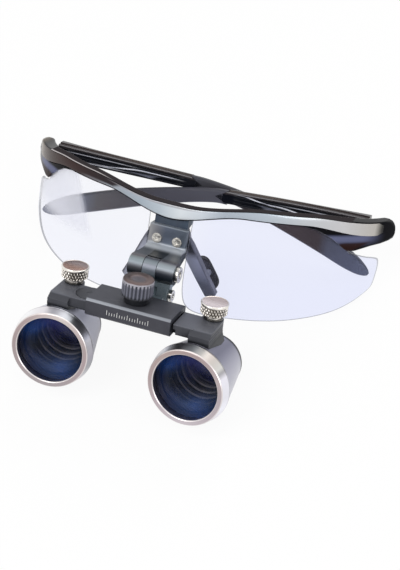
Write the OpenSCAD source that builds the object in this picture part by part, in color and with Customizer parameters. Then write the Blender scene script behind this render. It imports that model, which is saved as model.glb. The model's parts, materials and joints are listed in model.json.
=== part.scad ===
// Surgical loupe glasses, standing on the rear rims of both barrels and the two folded temple tips.
// Millimetres. The wearer's left is +X, the front is -Y, up is +Z, the table is Z 0.
// Each piece is built in one of three frames: the loupe (axis of the knobs upright), the glasses
// front (upright as worn) and a barrel (its own axis), and then set into the standing frame.

/* [Stance] */
// nose-down tilt of the loupe as the whole stands on the table
stand_tilt = 25.5; // [15:0.1:40]
// shift that brings the middle of the footprint to the origin
stance_y = -47.918; // [-80:0.01:0]
// set of the loupe to the wearer's left of the glasses' middle
loupe_side = 0.8; // [-2:0.1:2]
// further tilt of the glasses front against the loupe
front_tilt = 6.5; // [0:0.5:15]
// glasses origin behind the barrel mouths
front_back = 42; // [30:0.5:60]
// glasses origin above the barrel mouths
front_up = 42; // [30:0.5:60]

/* [Barrels] */
// half the distance between the two barrel mouths
pupil_half = 26.5; // [24:0.1:34]
// outward lean of each barrel toward its rear
toe_in = 4; // [0:0.5:8]
// length of a barrel
barrel_len = 28.5; // [22:0.5:50]
// radius of the barrel mouth
mouth_r = 12.6; // [9:0.1:14]
// depth of the plain bore of the mouth
mouth_depth = 2; // [1:0.1:4]
// outer radius of the flat ring round the mouth
ring_r = 14.7; // [13:0.1:18]
// largest radius of the bezel
bezel_r = 15.5; // [14:0.1:20]
// length of the bezel
bezel_len = 5.2; // [3:0.1:8]
// thickness of the dark seal behind the bezel
seal_t = 0.4; // [0.2:0.1:1]
// radius of the shell at its front
shell_front_r = 15.2; // [14:0.1:19]
// radius of the shell at its rear
shell_rear_r = 10.4; // [8:0.1:15]
// radius of the seat of the front lens
seat_r = 13.4; // [10:0.1:15]
// length of the bezel's spigot inside the shell
spigot_len = 2.8; // [1:0.1:5]
// wall of the bezel's spigot
spigot_t = 0.5; // [0.3:0.1:1]
// thickness of the front lens at its edge
lens_edge = 2; // [1:0.1:4]
// radius of the lens's front curve
lens_front_sphere = 42; // [25:1:90]
// radius of the lens's rear curve
lens_back_sphere = 60; // [25:1:90]
// radius of the seat of the rear lens
eye_seat_r = 8.7; // [5:0.1:10]
// radius of the rear opening
eye_r = 7.5; // [4:0.1:9]
// length of the rear ring
eye_ring_len = 1.2; // [0.8:0.1:3]
// radius of the curves of the rear lens
eye_sphere = 30; // [20:1:60]
// number of baffle ribs inside a barrel
ribs = 10; // [4:1:14]
// radius inside the first rib
rib_front_r = 11.8; // [9:0.1:13]
// radius inside the last rib
rib_rear_r = 8.7; // [6:0.1:10]

/* [End blocks] */
// middle of the end block from the middle of the bar
block_x = 27.5; // [24:0.1:36]
// width of an end block
block_w = 8; // [6:0.1:12]
// front face of the end blocks
block_front = 6; // [3:0.1:8]
// lower face of blocks and slides
level_low = 15.6; // [15:0.1:18]
// height of blocks and slides
level_h = 3.9; // [3:0.1:6]
// place of the thumbscrew along the block
screw_y = 20.6; // [16:0.1:24]
// length of the bevel on the block's front top edge
block_bevel = 2.6; // [0:0.1:4]
// depth of that bevel
block_bevel_drop = 1.7; // [0:0.1:3]
// half width of the saddle under the block
saddle_top_half = 4; // [3:0.1:6]
// half width of the saddle where it meets the barrel
saddle_foot_half = 5.8; // [4:0.1:8]
// rear face of the saddle
saddle_rear = 21.5; // [18:0.1:26]
// swivel pin from the middle of the bar
swivel_x = 18; // [17:0.1:20]
// swivel pin behind the barrel mouths
swivel_y = 14.6; // [13:0.1:16]
// radius of the swivel disc
disc_r = 5.4; // [4:0.1:6]
// radius of the swivel pin
swivel_pin_r = 1.5; // [1:0.1:2]
// front edge of the block's arm
arm_front = 7.8; // [7.6:0.1:9]
// rear edge of the block's arm
arm_rear = 19.8; // [18:0.1:20]
// play between the two halves of the lap
lap_gap = 0.1; // [0.05:0.05:0.3]

/* [Thumbscrews] */
// radius of the knurled head
thumb_r = 5; // [3.5:0.1:7]
// radius of the rim at the top
thumb_rim_r = 5.2; // [4:0.1:7]
// height of the collar under the head
thumb_collar_h = 2.4; // [1:0.1:4]
// height of the knurled part
thumb_knurl_h = 3.3; // [2:0.1:6]
// height of the rim
thumb_rim_h = 0.9; // [0.4:0.1:2]
// radius of the shank
thumb_shank_r = 1.45; // [1:0.05:2]
// length of the shank below the block's top
thumb_shank_len = 6.9; // [4:0.1:8]

/* [Bar housing] */
// half the length of the housing
bar_half = 16.5; // [14:0.1:22]
// front face of the housing
bar_front = 6; // [4:0.1:8]
// depth of the housing
bar_depth = 15.4; // [12:0.1:20]
// lower face of the housing
bar_low_z = 14.9; // [13:0.1:16]
// upper face of the housing
bar_high_z = 21.5; // [20:0.1:25]
// chamfer along the housing's edges
bar_chamfer = 0.8; // [0:0.1:2]
// front wall of the channel
channel_front = 7.5; // [7:0.1:8]
// width of the channel
channel_w = 12.6; // [10:0.1:14]
// play above and below the slides in the channel
channel_play = 0.08; // [0.03:0.01:0.2]
// thickness of the bottom cover
cover_t = 0.62; // [0.4:0.02:1]

/* [Centre knob and pinion] */
// tooth module of rack and pinion
gear_m = 0.6; // [0.4:0.1:1]
// teeth of the pinion
gear_teeth = 12; // [10:1:20]
// pressure angle of the teeth
gear_angle = 25; // [20:1:30]
// play between the teeth along the pitch line
gear_play = 0.12; // [0.05:0.01:0.3]
// radius of the knob's shaft
knob_shaft_r = 2; // [1.5:0.1:3]
// radius of the knob over its ribs
knob_r = 5.8; // [4:0.1:8]
// ribs round the knob
knob_ribs = 24; // [12:1:40]
// depth of the ribs
knob_rib_d = 0.45; // [0.2:0.05:1]
// radius of the knob's collar
knob_collar_r = 4.6; // [3:0.1:6]
// height of the knob's collar
knob_collar_h = 2.4; // [1:0.1:4]
// top of the knob
knob_top_z = 31; // [27:0.1:34]

/* [Bracket and flip link] */
// height of the tilt hinge
tilt_z = 19.8; // [18:0.1:24]
// place of the tilt hinge behind the barrel mouths
tilt_y = 29; // [27:0.1:34]
// radius of the bracket's knuckle
tilt_knuckle_r = 3.2; // [2.5:0.1:4]
// half width of the bracket's arm
bracket_half = 2.8; // [2:0.1:4]
// half width of the bracket's flange
flange_half = 7; // [5:0.1:10]
// thickness of the bracket's flange
flange_t = 1.6; // [1:0.1:3]
// radius of the tilt pin
tilt_pin_r = 1.25; // [0.8:0.05:2]
// place of the flip hinge behind the barrel mouths
flip_y = 27; // [24:0.1:32]
// height of the flip hinge
flip_z = 29.7; // [27:0.1:33]
// radius of the flip knuckles
flip_knuckle_r = 4; // [3:0.1:5]
// half width of the middle knuckle
flip_mid_half = 2.65; // [2:0.05:4]
// outer knuckles' end on the wearer's left
flip_left = 9.5; // [7:0.1:12]
// outer knuckles' end on the wearer's right
flip_right = 8.4; // [7:0.1:12]
// side play of the middle knuckle
flip_play = 0.15; // [0.05:0.05:0.4]
// radius of the flip pin
flip_pin_r = 1.5; // [1:0.1:2]
// half width of the link over its ears
link_half = 7; // [5:0.1:9]
// half width of the link's cross piece
cross_half = 8; // [6:0.1:10]

/* [Mount] */
// half width of the mount block's plate
mount_half = 7.4; // [6:0.1:10]
// top of the mount block's plate
mount_top = -0.8; // [-3:0.1:1]
// bottom of the mount block's plate
mount_low = -10.5; // [-14:0.1:-8]
// front face of the mount block's plate
mount_front = -1.2; // [-3:0.1:0]
// rear face of the mount block's plate
mount_rear = 1; // [0.5:0.1:2]
// half the distance between the two mount screws
mount_screw_x = 4; // [3:0.1:6]
// height of the two mount screws
mount_screw_z = -5.9; // [-9:0.1:-3]
// half width of the frame plate
plate_half = 6.6; // [5:0.1:8]
// thickness of the frame plate
plate_t = 1.6; // [1:0.1:3]

/* [Glasses front] */
// radius of the wrap of the front
wrap_r = 82; // [70:1:100]
// depth of the brow frame
brow_t = 5; // [3:0.1:7]
// thickness of the trim on the brow frame
trim_t = 0.7; // [0.4:0.1:1.5]
// width of the dark line above and below the trim
trim_line = 0.35; // [0.1:0.05:1]
// half the width over the trim's ends
trim_half = 71.8; // [60:0.1:74]
// half the width over the dark brow frame's ends
brow_half = 62; // [56:0.1:66]
// thickness of the wrap lenses
lens_t = 1.8; // [1.2:0.1:3]
// depth of the lens behind the front face of the brow
lens_back = 1.3; // [1:0.1:3]
// depth of the groove that holds the lens
groove_d = 1.8; // [1:0.1:2.5]
// depth of the end pieces
end_t = 5.4; // [4:0.1:7]
// temple hinge from the middle
hinge_x = 69.5; // [64:0.1:73]
// temple hinge in from the outer face of the wrap
hinge_in = 3.2647; // [2.5:0.1:4]
// rear face of the end piece behind the hinge
end_back = 4; // [3:0.1:6]
// radius of the temple hinge pin
hinge_pin_r = 0.9; // [0.6:0.1:1.5]
// radius of the temple's hinge eye
hinge_eye_r = 2; // [1.5:0.1:2.5]
// lower face of the hinge slot
hinge_slot_low = 1.9; // [1:0.1:3]
// height of the hinge slot
hinge_slot_h = 4.2; // [3:0.1:5]

/* [Nose piece] */
// thickness of the nose bridge
bridge_t = 2; // [1:0.1:3]
// length of a nose pad
pad_len = 14; // [10:0.5:20]
// width of a nose pad
pad_w = 7.5; // [5:0.5:12]
// thickness of a nose pad
pad_t = 2.6; // [1.5:0.1:4]
// lean of the nose arms toward the face
nose_lean = 22; // [0:1:35]
// height at which the nose arms bend, above the frame's middle line
nose_bend = -5; // [-6:0.1:-4]
// gap from the front of a nose arm to the middle of its pad, along the view
pad_gap = 6.5; // [4:0.1:9]
// width between the pads' middles
pad_spread = 25.9; // [20:0.1:32]
// height of the pads' middles
pad_z = -20.1; // [-26:0.1:-15]

/* [Temples] */
// fold of the wearer's left temple at rest
fold_left = 91; // [85:0.1:94]
// fold of the wearer's right temple at rest
fold_right = 87.8; // [80:0.1:94]
// length of the straight part from hinge to tip
straight_len = 64; // [50:0.5:80]
// length of the tip
tip_len = 73.6; // [50:0.1:90]
// thickness of a temple
temple_t = 3.5; // [2.5:0.1:5]
// height of a temple at its root
root_h = 7.1; // [5:0.1:10]
// height of a temple at the tip's start
neck_h = 5.6; // [4:0.1:8]
// greatest height of the tip
tip_h = 8.4; // [5:0.1:10]
// length of the tip's rounded end
tip_round = 14; // [5:0.5:25]
// thickness of a tip
tip_t = 3; // [2:0.1:4]
// length over which the tip thins behind the junction
tip_blend = 10; // [6:1:16]
// length of the tip's thinned end
tip_nose = 4; // [3:0.5:8]
// middle of the temple's height at its root
root_z = 4.95; // [3:0.05:6]
// middle of the left temple's height at the tip's start
neck_z_left = 2.9; // [2:0.05:5]
// middle of the right temple's height at the tip's start
neck_z_right = 4.6; // [2:0.05:6]
// drop of the left tip's end
drop_left = 22.708; // [5:0.01:40]
// drop of the right tip's end
drop_right = 19.837; // [5:0.01:40]
// bend of the left tip, 1 is straight
bend_left = 1.27; // [1:0.01:2.5]
// bend of the right tip, 1 is straight
bend_right = 1.55; // [1:0.01:2.5]
// outward reach of the temple's root
root_flare = 3.9; // [2:0.1:7]

/* [Hidden] */
$fn = 72;
eps = 0.01;
level_high = level_low + level_h;
lap_z = level_low + level_h / 2;
sin_lean = cos(toe_in) * sin(stand_tilt);
rim_s = barrel_len - 0.3;
rim_r = shell_rear_r - 0.1;
loupe_lift = rim_s * sin_lean + rim_r * sqrt(1 - sin_lean * sin_lean);
shell_s0 = bezel_len + seal_t;
shell_s1 = barrel_len - eye_ring_len;
front_sag = lens_front_sphere - sqrt(lens_front_sphere * lens_front_sphere - seat_r * seat_r);
lens_s = mouth_depth + 0.3 + front_sag;
spigot_s = bezel_len + spigot_len;
spigot_r = seat_r + spigot_t;
eye_lip_r = eye_seat_r - 0.7;
eye_lip_s = shell_s1 - 1.7;
sleeve_s = eye_lip_s - 0.8;
sleeve_r = 9.6;
rib_pitch = (sleeve_s - spigot_s) / ribs;
pitch_r = gear_m * gear_teeth / 2;
pitch = PI * gear_m;
bar_mid_y = channel_front + channel_w / 2;
bar_rear = bar_front + bar_depth;
flip_g_y = (flip_y - front_back) * cos(front_tilt) - (flip_z - front_up) * sin(front_tilt);
flip_g_z = (flip_y - front_back) * sin(front_tilt) + (flip_z - front_up) * cos(front_tilt);
lens_r = wrap_r - lens_back;
hinge_y = wrap_r - sqrt(pow(wrap_r - hinge_in, 2) - hinge_x * hinge_x);
end_y = hinge_y + end_back;

black = [0.06, 0.07, 0.08];
gunmetal = [0.42, 0.43, 0.44];
silver = [0.75, 0.73, 0.72];
steel = [0.62, 0.62, 0.63];
clear = [0.8, 0.85, 0.95, 0.4];

// Frames
module in_loupe() { translate([loupe_side, stance_y, loupe_lift]) rotate([-stand_tilt, 0, 0]) children(); }
module in_mount() {
  in_loupe() translate([0, front_back, front_up]) rotate([-front_tilt, 0, 0]) children();
}
module in_glasses() { in_mount() translate([-loupe_side, 0, 0]) children(); }
module on_barrel(sx) {
  translate([sx * pupil_half, 0, 0]) rotate([0, 0, -sx * toe_in]) rotate([-90, 0, 0]) children();
}
module in_temple(sx) {
  fold = sx > 0 ? fold_left : fold_right;
  in_glasses() translate([sx * hinge_x, hinge_y, 0]) rotate([0, 0, sx * fold])
    if (sx > 0) children(); else mirror([1, 0, 0]) children();
}
// outline in the X-Z plane, drawn from y0 to y1
module front_prism(y0, y1) { translate([0, y1, 0]) rotate([90, 0, 0]) linear_extrude(y1 - y0) children(); }
// outline in the Y-Z plane, drawn from x0 to x1
module side_prism(x0, x1) { translate([x0, 0, 0]) rotate([90, 0, 90]) linear_extrude(x1 - x0) children(); }
module box(x0, x1, y0, y1, z0, z1) { translate([x0, y0, z0]) cube([x1 - x0, y1 - y0, z1 - z0]); }
module rod_x(x0, x1, y, z, r) { translate([x0, y, z]) rotate([0, 90, 0]) cylinder(r = r, h = x1 - x0); }
module post(x, y, z0, z1, r) { translate([x, y, z0]) cylinder(r = r, h = z1 - z0); }

// Outlines of the brow
function ease(t) = let (c = min(1, max(0, t))) c * c * (3 - 2 * c);
function brow_low(x) = 1.9 + 5.1 * ease(abs(x) / 28) - 4.1 * ease((abs(x) - 48) / 22);
function brow_top(x) = 7.7 + 3.2 * ease((abs(x) - 6) / 30) - 2.4 * ease((abs(x) - 50) / 20);
function brow_line(h, inset) = concat(
  [for (i = [0:44]) let (x = -h + 2 * h * i / 44) [x, brow_low(x) + inset]],
  [for (i = [0:44]) let (x = h - 2 * h * i / 44) [x, brow_top(x) - inset]]);
function end_line() = concat(
  [[46, brow_low(46)], [51.8, 5.6], [56.5, 2.7], [59.3, 0.1], [60.9, -1.7], [62, -2.5], [64.1, -2.6],
   [68.7, -1], [71.5, -0.4], [73.6, 0.4], [74.6, 1.3], [75, 2.4], [75.2, 3.6], [75.1, 5], [74.8, 6.2],
   [74.2, 7.3], [73.3, 8.1], [72, 8.5]],
  [for (i = [0:4]) let (x = 70 - 2 * i) [x, brow_top(x)]],
  [for (i = [0:8]) let (x = brow_half - 2 * i) [x, brow_low(x)]]);
function lens_line() = concat(
  [[8.5, brow_low(8.5) + groove_d], [8.2, -3], [8, -12], [8, -20], [8.3, -25], [9.3, -29], [11, -31.2],
   [13.6, -32.4], [18, -32.9], [24, -32.8], [30, -32.6], [35, -32.4], [40.3, -32], [45.2, -31.4],
   [50.1, -30.5], [54.8, -29.4], [59.3, -28], [63.1, -26.2], [66.5, -23.7], [69.1, -20.9],
   [70.4, -19.2], [71, -17.6], [71.3, -14.9], [71.6, -10.4], [71.3, -7.4], [70.4, -6.6], [67.2, -5.7],
   [65.2, -4.8], [63.1, -4], [62.1, -3.1], [61.3, -1.2], [59.9, 0.9], [57.4, 5]],
  [for (i = [0:16]) let (x = 56.5 - 3 * i) [x, brow_low(x) + groove_d]]);

// vertical shell of the wrap between two radii
module wrap(r_in, r_out) {
  translate([0, wrap_r, -40]) difference() {
    cylinder(r = r_out, h = 60);
    translate([0, 0, -1]) cylinder(r = r_in, h = 62);
  }
}
module trim_solid() {
  intersection() {
    wrap(wrap_r - trim_t, wrap_r);
    front_prism(-1, 60) polygon(brow_line(trim_half, trim_line));
  }
}
module lens_solid(sx) {
  intersection() {
    wrap(lens_r - lens_t, lens_r);
    front_prism(-1, 60) if (sx > 0) polygon(lens_line()); else mirror([1, 0]) polygon(lens_line());
  }
}
module brow_solid() {
  intersection() {
    wrap(wrap_r - brow_t, wrap_r);
    front_prism(-1, 60) polygon(brow_line(brow_half, 0));
  }
}
module brow_frame() {
  color(black) in_glasses() difference() {
    brow_solid();
    trim_solid();
    lens_solid(1);
    lens_solid(-1);
  }
}
module brow_trim() { color(gunmetal) in_glasses() trim_solid(); }

module end_piece(sx) {
  color(black) in_glasses() difference() {
    intersection() {
      wrap(wrap_r - end_t, wrap_r);
      front_prism(-1, end_y) if (sx > 0) polygon(end_line()); else mirror([1, 0]) polygon(end_line());
    }
    trim_solid();
    lens_solid(sx);
    // slot for the temple's hinge eye, open to the rear and the inner side
    mirror([sx > 0 ? 0 : 1, 0, 0]) {
      box(hinge_x - 12, hinge_x + hinge_eye_r + 0.15, hinge_y - hinge_eye_r - 0.15, hinge_y + 12,
        hinge_slot_low, hinge_slot_low + hinge_slot_h);
    }
    post(sx * hinge_x, hinge_y, -10, 20, hinge_pin_r);
  }
}
module end_piece_left() { end_piece(1); }
module end_piece_right() { end_piece(-1); }
module lens_left() { color(clear) in_glasses() lens_solid(1); }
module lens_right() { color(clear) in_glasses() lens_solid(-1); }
module hinge_pin(sx) { color(steel) in_glasses() post(sx * hinge_x, hinge_y, 0.4, 8.1, hinge_pin_r); }
module hinge_pin_left() { hinge_pin(1); }
module hinge_pin_right() { hinge_pin(-1); }

// Nose piece and the plate behind the mount block
function nose_y(z) = mount_rear + plate_t + max(0, nose_bend - z) * tan(nose_lean);
module pad_place(sx) {
  mirror([sx > 0 ? 0 : 1, 0, 0]) translate([pad_spread / 2, nose_y(pad_z) + pad_gap, pad_z])
    rotate([0, -37, 0]) rotate([0, 0, 45]) children();
}
module pad_solid(sx) {
  pad_place(sx) front_prism(-pad_t / 2, pad_t / 2) {
    translate([0, (pad_len - pad_w) / 2]) circle(r = pad_w / 2);
    translate([0, -(pad_len - pad_w) / 2]) circle(r = pad_w / 2);
    translate([-pad_w / 2, -(pad_len - pad_w) / 2]) square([pad_w, pad_len - pad_w]);
  }
}
function both(half) = concat(half, [for (i = [len(half) - 1:-1:0]) [-half[i][0], half[i][1]]]);
function arm_half() = [[8.2, 0], [9.7, -2.2], [11.6, -6], [15.2, -13.5], [19.3, -21.3], [18.4, -22.9],
  [14.9, -23.1], [11.2, -16.8], [6.6, -8.3]];
module nose_bridge() {
  y0 = mount_rear + plate_t;
  color([0.3, 0.3, 0.34]) in_glasses() difference() {
    union() {
      front_prism(y0, y0 + bridge_t) polygon(both([[7, -1.2], [8, -3.4], [8.4, -5], [6, -8.4]]));
      translate([0, y0, nose_bend]) rotate([nose_lean, 0, 0]) scale([1, 1, 1 / cos(nose_lean)])
        front_prism(0, bridge_t) polygon(both(arm_half()));
      for (sx = [-1, 1]) translate([sx * (pad_spread / 2 + 0.7), nose_y(pad_z) + 1, pad_z + 0.4])
        rotate([-90, 0, 0]) cylinder(r = 1.4, h = pad_gap - 0.7);
    }
    pad_solid(1);
    pad_solid(-1);
    lens_solid(1);
    lens_solid(-1);
    for (sx = [-1, 1]) translate([loupe_side + sx * mount_screw_x, 0, mount_screw_z]) rotate([-90, 0, 0])
      cylinder(r = 1, h = 10);
  }
}
module nose_pad_left() { color([0.12, 0.09, 0.09]) in_glasses() pad_solid(1); }
module nose_pad_right() { color([0.12, 0.09, 0.09]) in_glasses() pad_solid(-1); }
module frame_plate() {
  y1 = mount_rear + plate_t;
  hook = brow_t + 1.3;
  color([0.13, 0.2, 0.23]) in_mount() difference() {
    side_prism(-plate_half, plate_half) polygon([[mount_rear, mount_low], [mount_rear, 3.4], [hook, 3.4],
      [hook, 6.4], [hook + 0.3, 6.4], [hook + 0.3, 0.4], [y1, -0.9], [y1, mount_low]]);
    translate([-loupe_side, 0, 0]) brow_solid();
    for (sx = [-1, 1]) translate([sx * mount_screw_x, -5, mount_screw_z]) rotate([-90, 0, 0])
      cylinder(r = 1, h = 15);
  }
}

// Mount block with the two outer knuckles of the flip hinge, in the glasses frame
module mount_block() {
  y = flip_g_y;
  z = flip_g_z;
  slot = flip_mid_half + flip_play;
  color(black) in_mount() difference() {
    union() {
      box(-mount_half, mount_half, mount_front, mount_rear, mount_low, mount_top);
      intersection() {
        side_prism(-flip_right, flip_left) polygon([[mount_rear, -8.2], [mount_front, -8.2], [-3, -8.9],
          [-5.5, -9.7], [-8.5, -9.9], [y, z + flip_knuckle_r], [y, z - flip_knuckle_r], [-8, -16.2],
          [mount_rear, -11.8]]);
        translate([0, 0, -25]) linear_extrude(30) polygon([[-mount_half, 2], [-mount_half, -3.5],
          [-flip_right, -11], [-flip_right, -20], [flip_left, -20], [flip_left, -11],
          [mount_half, -4], [mount_half, 2]]);
      }
      rod_x(-flip_right, flip_left, y, z, flip_knuckle_r);
    }
    rod_x(-slot, slot, y, z, flip_knuckle_r + 0.3);
    box(-slot, slot, y - 10, y, z - 10, z + 10);
    box(-slot, slot, y - 1, y + 7.2, z - 10, z);
    rod_x(-20, 20, y, z, flip_pin_r);
    for (sx = [-1, 1]) translate([sx * mount_screw_x, -5, mount_screw_z]) rotate([-90, 0, 0]) {
      cylinder(r = 1, h = 10);
      cylinder(r = 1.9, h = 4.6);
    }
  }
}
module mount_screws() {
  y1 = mount_rear + plate_t + bridge_t;
  color(silver) in_mount() for (sx = [-1, 1])
    translate([sx * mount_screw_x, 0, mount_screw_z]) difference() {
      rotate([-90, 0, 0]) {
        translate([0, 0, mount_front]) cylinder(r = 1, h = y1 - mount_front);
        translate([0, 0, mount_front - 0.5]) cylinder(r = 1.9, h = -mount_front + 0.1);
      }
      translate([0, mount_front - 1, 0]) rotate([-90, 0, 0]) cylinder(r = 0.9, h = 1.3, $fn = 6);
    }
}
module flip_pin() {
  color(silver) in_loupe() difference() {
    union() {
      rod_x(-flip_right, flip_left, flip_y, flip_z, flip_pin_r);
      rod_x(flip_left, flip_left + 1.5, flip_y, flip_z, 3);
    }
    rod_x(flip_left + 0.7, flip_left + 2, flip_y, flip_z, 1.2);
  }
}

// Temples, each in its own frame: length along +Y from the hinge, outer side toward +X
in_x = -temple_t / 2;
out_x = temple_t / 2;
split_x = 0.35;
function neck_z(sx) = sx > 0 ? neck_z_left : neck_z_right;
function mid_z(y, sx) = root_z + (neck_z(sx) - root_z) * pow(max(0, y - 4.2) / (straight_len - 4.2), 2);
function half_h(y) = (root_h + (neck_h - root_h) * (y - 4.2) / (straight_len - 4.2)) / 2;
function tip_mid(s, sx) = neck_z(sx) - (sx > 0 ? drop_left : drop_right)
  * pow(max(0, s) / tip_len, sx > 0 ? bend_left : bend_right);
function tip_half(s) = (neck_h / 2 + (tip_h - neck_h) / 2 * ease(s / (tip_len * 0.68)))
  * sqrt(max(0, 1 - pow(max(0, s - tip_len + tip_round) / tip_round, 2)));
// outline of the straight part, ending in a chevron
function straight_line(sx, inset) = let (b = straight_len - 3) concat(
  [for (i = [0:8]) let (y = 4.2 + (b - 4.2) * i / 8) [y, mid_z(y, sx) - half_h(y) + inset]],
  [[straight_len + 2, mid_z(straight_len, sx)]],
  [for (i = [8:-1:0]) let (y = 4.2 + (b - 4.2) * i / 8) [y, mid_z(y, sx) + half_h(y) - inset]]);
function tip_s(i) = i < 17 ? (tip_len - tip_round) * i / 16
  : tip_len - tip_round + tip_round * sin((i - 16) * 11.25);
function tip_line(sx) = let (b = straight_len - 3) concat(
  [[b, mid_z(b, sx) - half_h(b)], [straight_len + 2, mid_z(straight_len, sx)], [b, mid_z(b, sx) + half_h(b)]],
  [for (i = [0:24]) let (s = tip_s(i)) [straight_len + s, tip_mid(s, sx) + tip_half(s)]],
  [for (i = [23:-1:0]) let (s = tip_s(i)) [straight_len + s, tip_mid(s, sx) - tip_half(s)]]);
module temple_core(sx) {
  eye_low = hinge_slot_low + 0.1;
  eye_h = hinge_slot_h - 0.2;
  color([0.03, 0.03, 0.04]) in_temple(sx) difference() {
    union() {
      side_prism(in_x, split_x) polygon(straight_line(sx, 0.4));
      box(in_x, split_x + 1.2, 0, 4.3, eye_low, eye_low + eye_h);
      post(0, 0, eye_low, eye_low + eye_h, hinge_eye_r);
    }
    post(0, 0, -10, 20, hinge_pin_r + 0.05);
    for (k = [-1, 0, 1]) side_prism(in_x - 1, in_x + 0.45) polygon([
      [8, mid_z(8, sx) + k * 1.75 - 0.3], [32, mid_z(32, sx) + k * 1.55 - 0.3],
      [56, mid_z(56, sx) + k * 1.35 - 0.3], [56, mid_z(56, sx) + k * 1.35 + 0.3],
      [32, mid_z(32, sx) + k * 1.55 + 0.3], [8, mid_z(8, sx) + k * 1.75 + 0.3]]);
  }
}
module temple_shell(sx) {
  color([0.35, 0.31, 0.29]) in_temple(sx) intersection() {
    side_prism(split_x, 10) polygon(straight_line(sx, 0));
    translate([0, 0, -10]) linear_extrude(30) polygon([[split_x, 4.2], [root_flare, 4.2],
      [root_flare - 0.2, 7], [root_flare - 0.8, 12], [root_flare - 1.5, 20], [out_x + 0.1, 30],
      [out_x, 38], [out_x, straight_len + 6], [split_x, straight_len + 6]]);
  }
}
module temple_tip(sx) {
  e = straight_len + tip_len;
  color([0.32, 0.33, 0.37]) in_temple(sx) intersection() {
    side_prism(in_x, out_x) polygon(tip_line(sx));
    translate([0, 0, -60]) linear_extrude(90) polygon([[in_x, straight_len - tip_blend],
      [out_x, straight_len - tip_blend], [out_x, straight_len], [in_x + tip_t, straight_len + tip_blend],
      [in_x + tip_t, e - tip_nose], [in_x + tip_t - 0.8, e - 1], [in_x + tip_t - 1.2, e + 1],
      [in_x + 1.2, e + 1], [in_x + 0.9, e - 1], [in_x, e - tip_nose]]);
  }
}
module temple_left() { temple_core(1); }
module temple_right() { temple_core(-1); }
module temple_shell_left() { temple_shell(1); }
module temple_shell_right() { temple_shell(-1); }
module temple_tip_left() { temple_tip(1); }
module temple_tip_right() { temple_tip(-1); }

// Flip link between the mount block and the bar's bracket
module flip_link() {
  ear_x = bracket_half + 0.15;
  color([0.1, 0.14, 0.16]) in_loupe() difference() {
    union() {
      rod_x(-flip_mid_half, flip_mid_half, flip_y, flip_z, flip_knuckle_r);
      side_prism(-flip_mid_half, flip_mid_half) polygon([[flip_y - 1, flip_z - 3], [flip_y + 3.4, flip_z - 2],
        [flip_y + 4.4, flip_z - 4.2], [flip_y + 4.4, 23.4], [flip_y - 1, 23.4]]);
      box(-cross_half, cross_half, flip_y - 1, flip_y + 5, 23.3, 25.3);
      for (sx = [-1, 1]) {
        box(sx > 0 ? ear_x : -link_half, sx > 0 ? link_half : -ear_x, tilt_y - 3, tilt_y + 3, tilt_z, 23.4);
        rod_x(sx > 0 ? ear_x : -link_half, sx > 0 ? link_half : -ear_x, tilt_y, tilt_z, 3);
      }
    }
    rod_x(-20, 20, flip_y, flip_z, flip_pin_r + 0.05);
    rod_x(-20, 20, tilt_y, tilt_z, tilt_pin_r);
  }
}
module tilt_pin() {
  color(silver) in_loupe() difference() {
    union() {
      rod_x(-link_half - 1, link_half, tilt_y, tilt_z, tilt_pin_r);
      rod_x(link_half, link_half + 1.6, tilt_y, tilt_z, 2.3);
    }
    rod_x(link_half + 0.8, link_half + 2, tilt_y, tilt_z, 1.1);
  }
}

// Bar housing, cover and bracket
module bar_housing() {
  c = bar_chamfer;
  z0 = bar_low_z;
  z1 = bar_high_z;
  color(black) in_loupe() difference() {
    side_prism(-bar_half, bar_half) polygon([[bar_front + c, z0], [bar_rear - c, z0], [bar_rear, z0 + c],
      [bar_rear, z1 - c], [bar_rear - c, z1], [bar_front + c, z1], [bar_front, z1 - c], [bar_front, z0 + c]]);
    box(-bar_half - 1, bar_half + 1, channel_front, channel_front + channel_w,
      bar_low_z + cover_t, level_high + channel_play);
    box(-bar_half - 1, bar_half + 1, channel_front + 0.6, channel_front + channel_w - 0.6,
      bar_low_z - 1, bar_low_z + cover_t + 0.1);
    post(0, bar_mid_y, level_high, bar_high_z + 1, knob_shaft_r + 0.05);
    for (sx = [-1, 1]) translate([sx * 4.8, bar_rear - 1, 18.4]) rotate([-90, 0, 0]) cylinder(r = 0.7, h = 3);
  }
}
module bar_cover() {
  color([0.09, 0.1, 0.11]) in_loupe() difference() {
    box(-bar_half, bar_half, channel_front + 0.6, channel_front + channel_w - 0.6, bar_low_z,
      bar_low_z + cover_t);
    post(0, bar_mid_y, bar_low_z - 1, level_low + 1, 1.25);
  }
}
module bar_bracket() {
  color([0.1, 0.14, 0.16]) in_loupe() difference() {
    union() {
      box(-flange_half, flange_half, bar_rear, bar_rear + flange_t, 15.2, 21.2);
      side_prism(-bracket_half, bracket_half) polygon([[bar_rear + 1, 16.6],
        [tilt_y, tilt_z - tilt_knuckle_r], [tilt_y, tilt_z + tilt_knuckle_r], [bar_rear + 3.5, 21.2],
        [bar_rear + 1, 21.2]]);
      rod_x(-bracket_half, bracket_half, tilt_y, tilt_z, tilt_knuckle_r);
    }
    rod_x(-20, 20, tilt_y, tilt_z, tilt_pin_r + 0.05);
    for (sx = [-1, 1]) translate([sx * 4.8, bar_rear - 1, 18.4]) rotate([-90, 0, 0]) cylinder(r = 0.7, h = 5);
  }
}
module bracket_screws() {
  color(silver) in_loupe() for (sx = [-1, 1]) translate([sx * 4.8, bar_rear - 1, 18.4]) rotate([-90, 0, 0])
    difference() {
      union() {
        cylinder(r = 0.7, h = flange_t + 1);
        translate([0, 0, flange_t + 1]) cylinder(r = 1.3, h = 0.8);
      }
      translate([0, 0, flange_t + 1.4]) cylinder(r = 0.6, h = 1, $fn = 6);
    }
}

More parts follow.
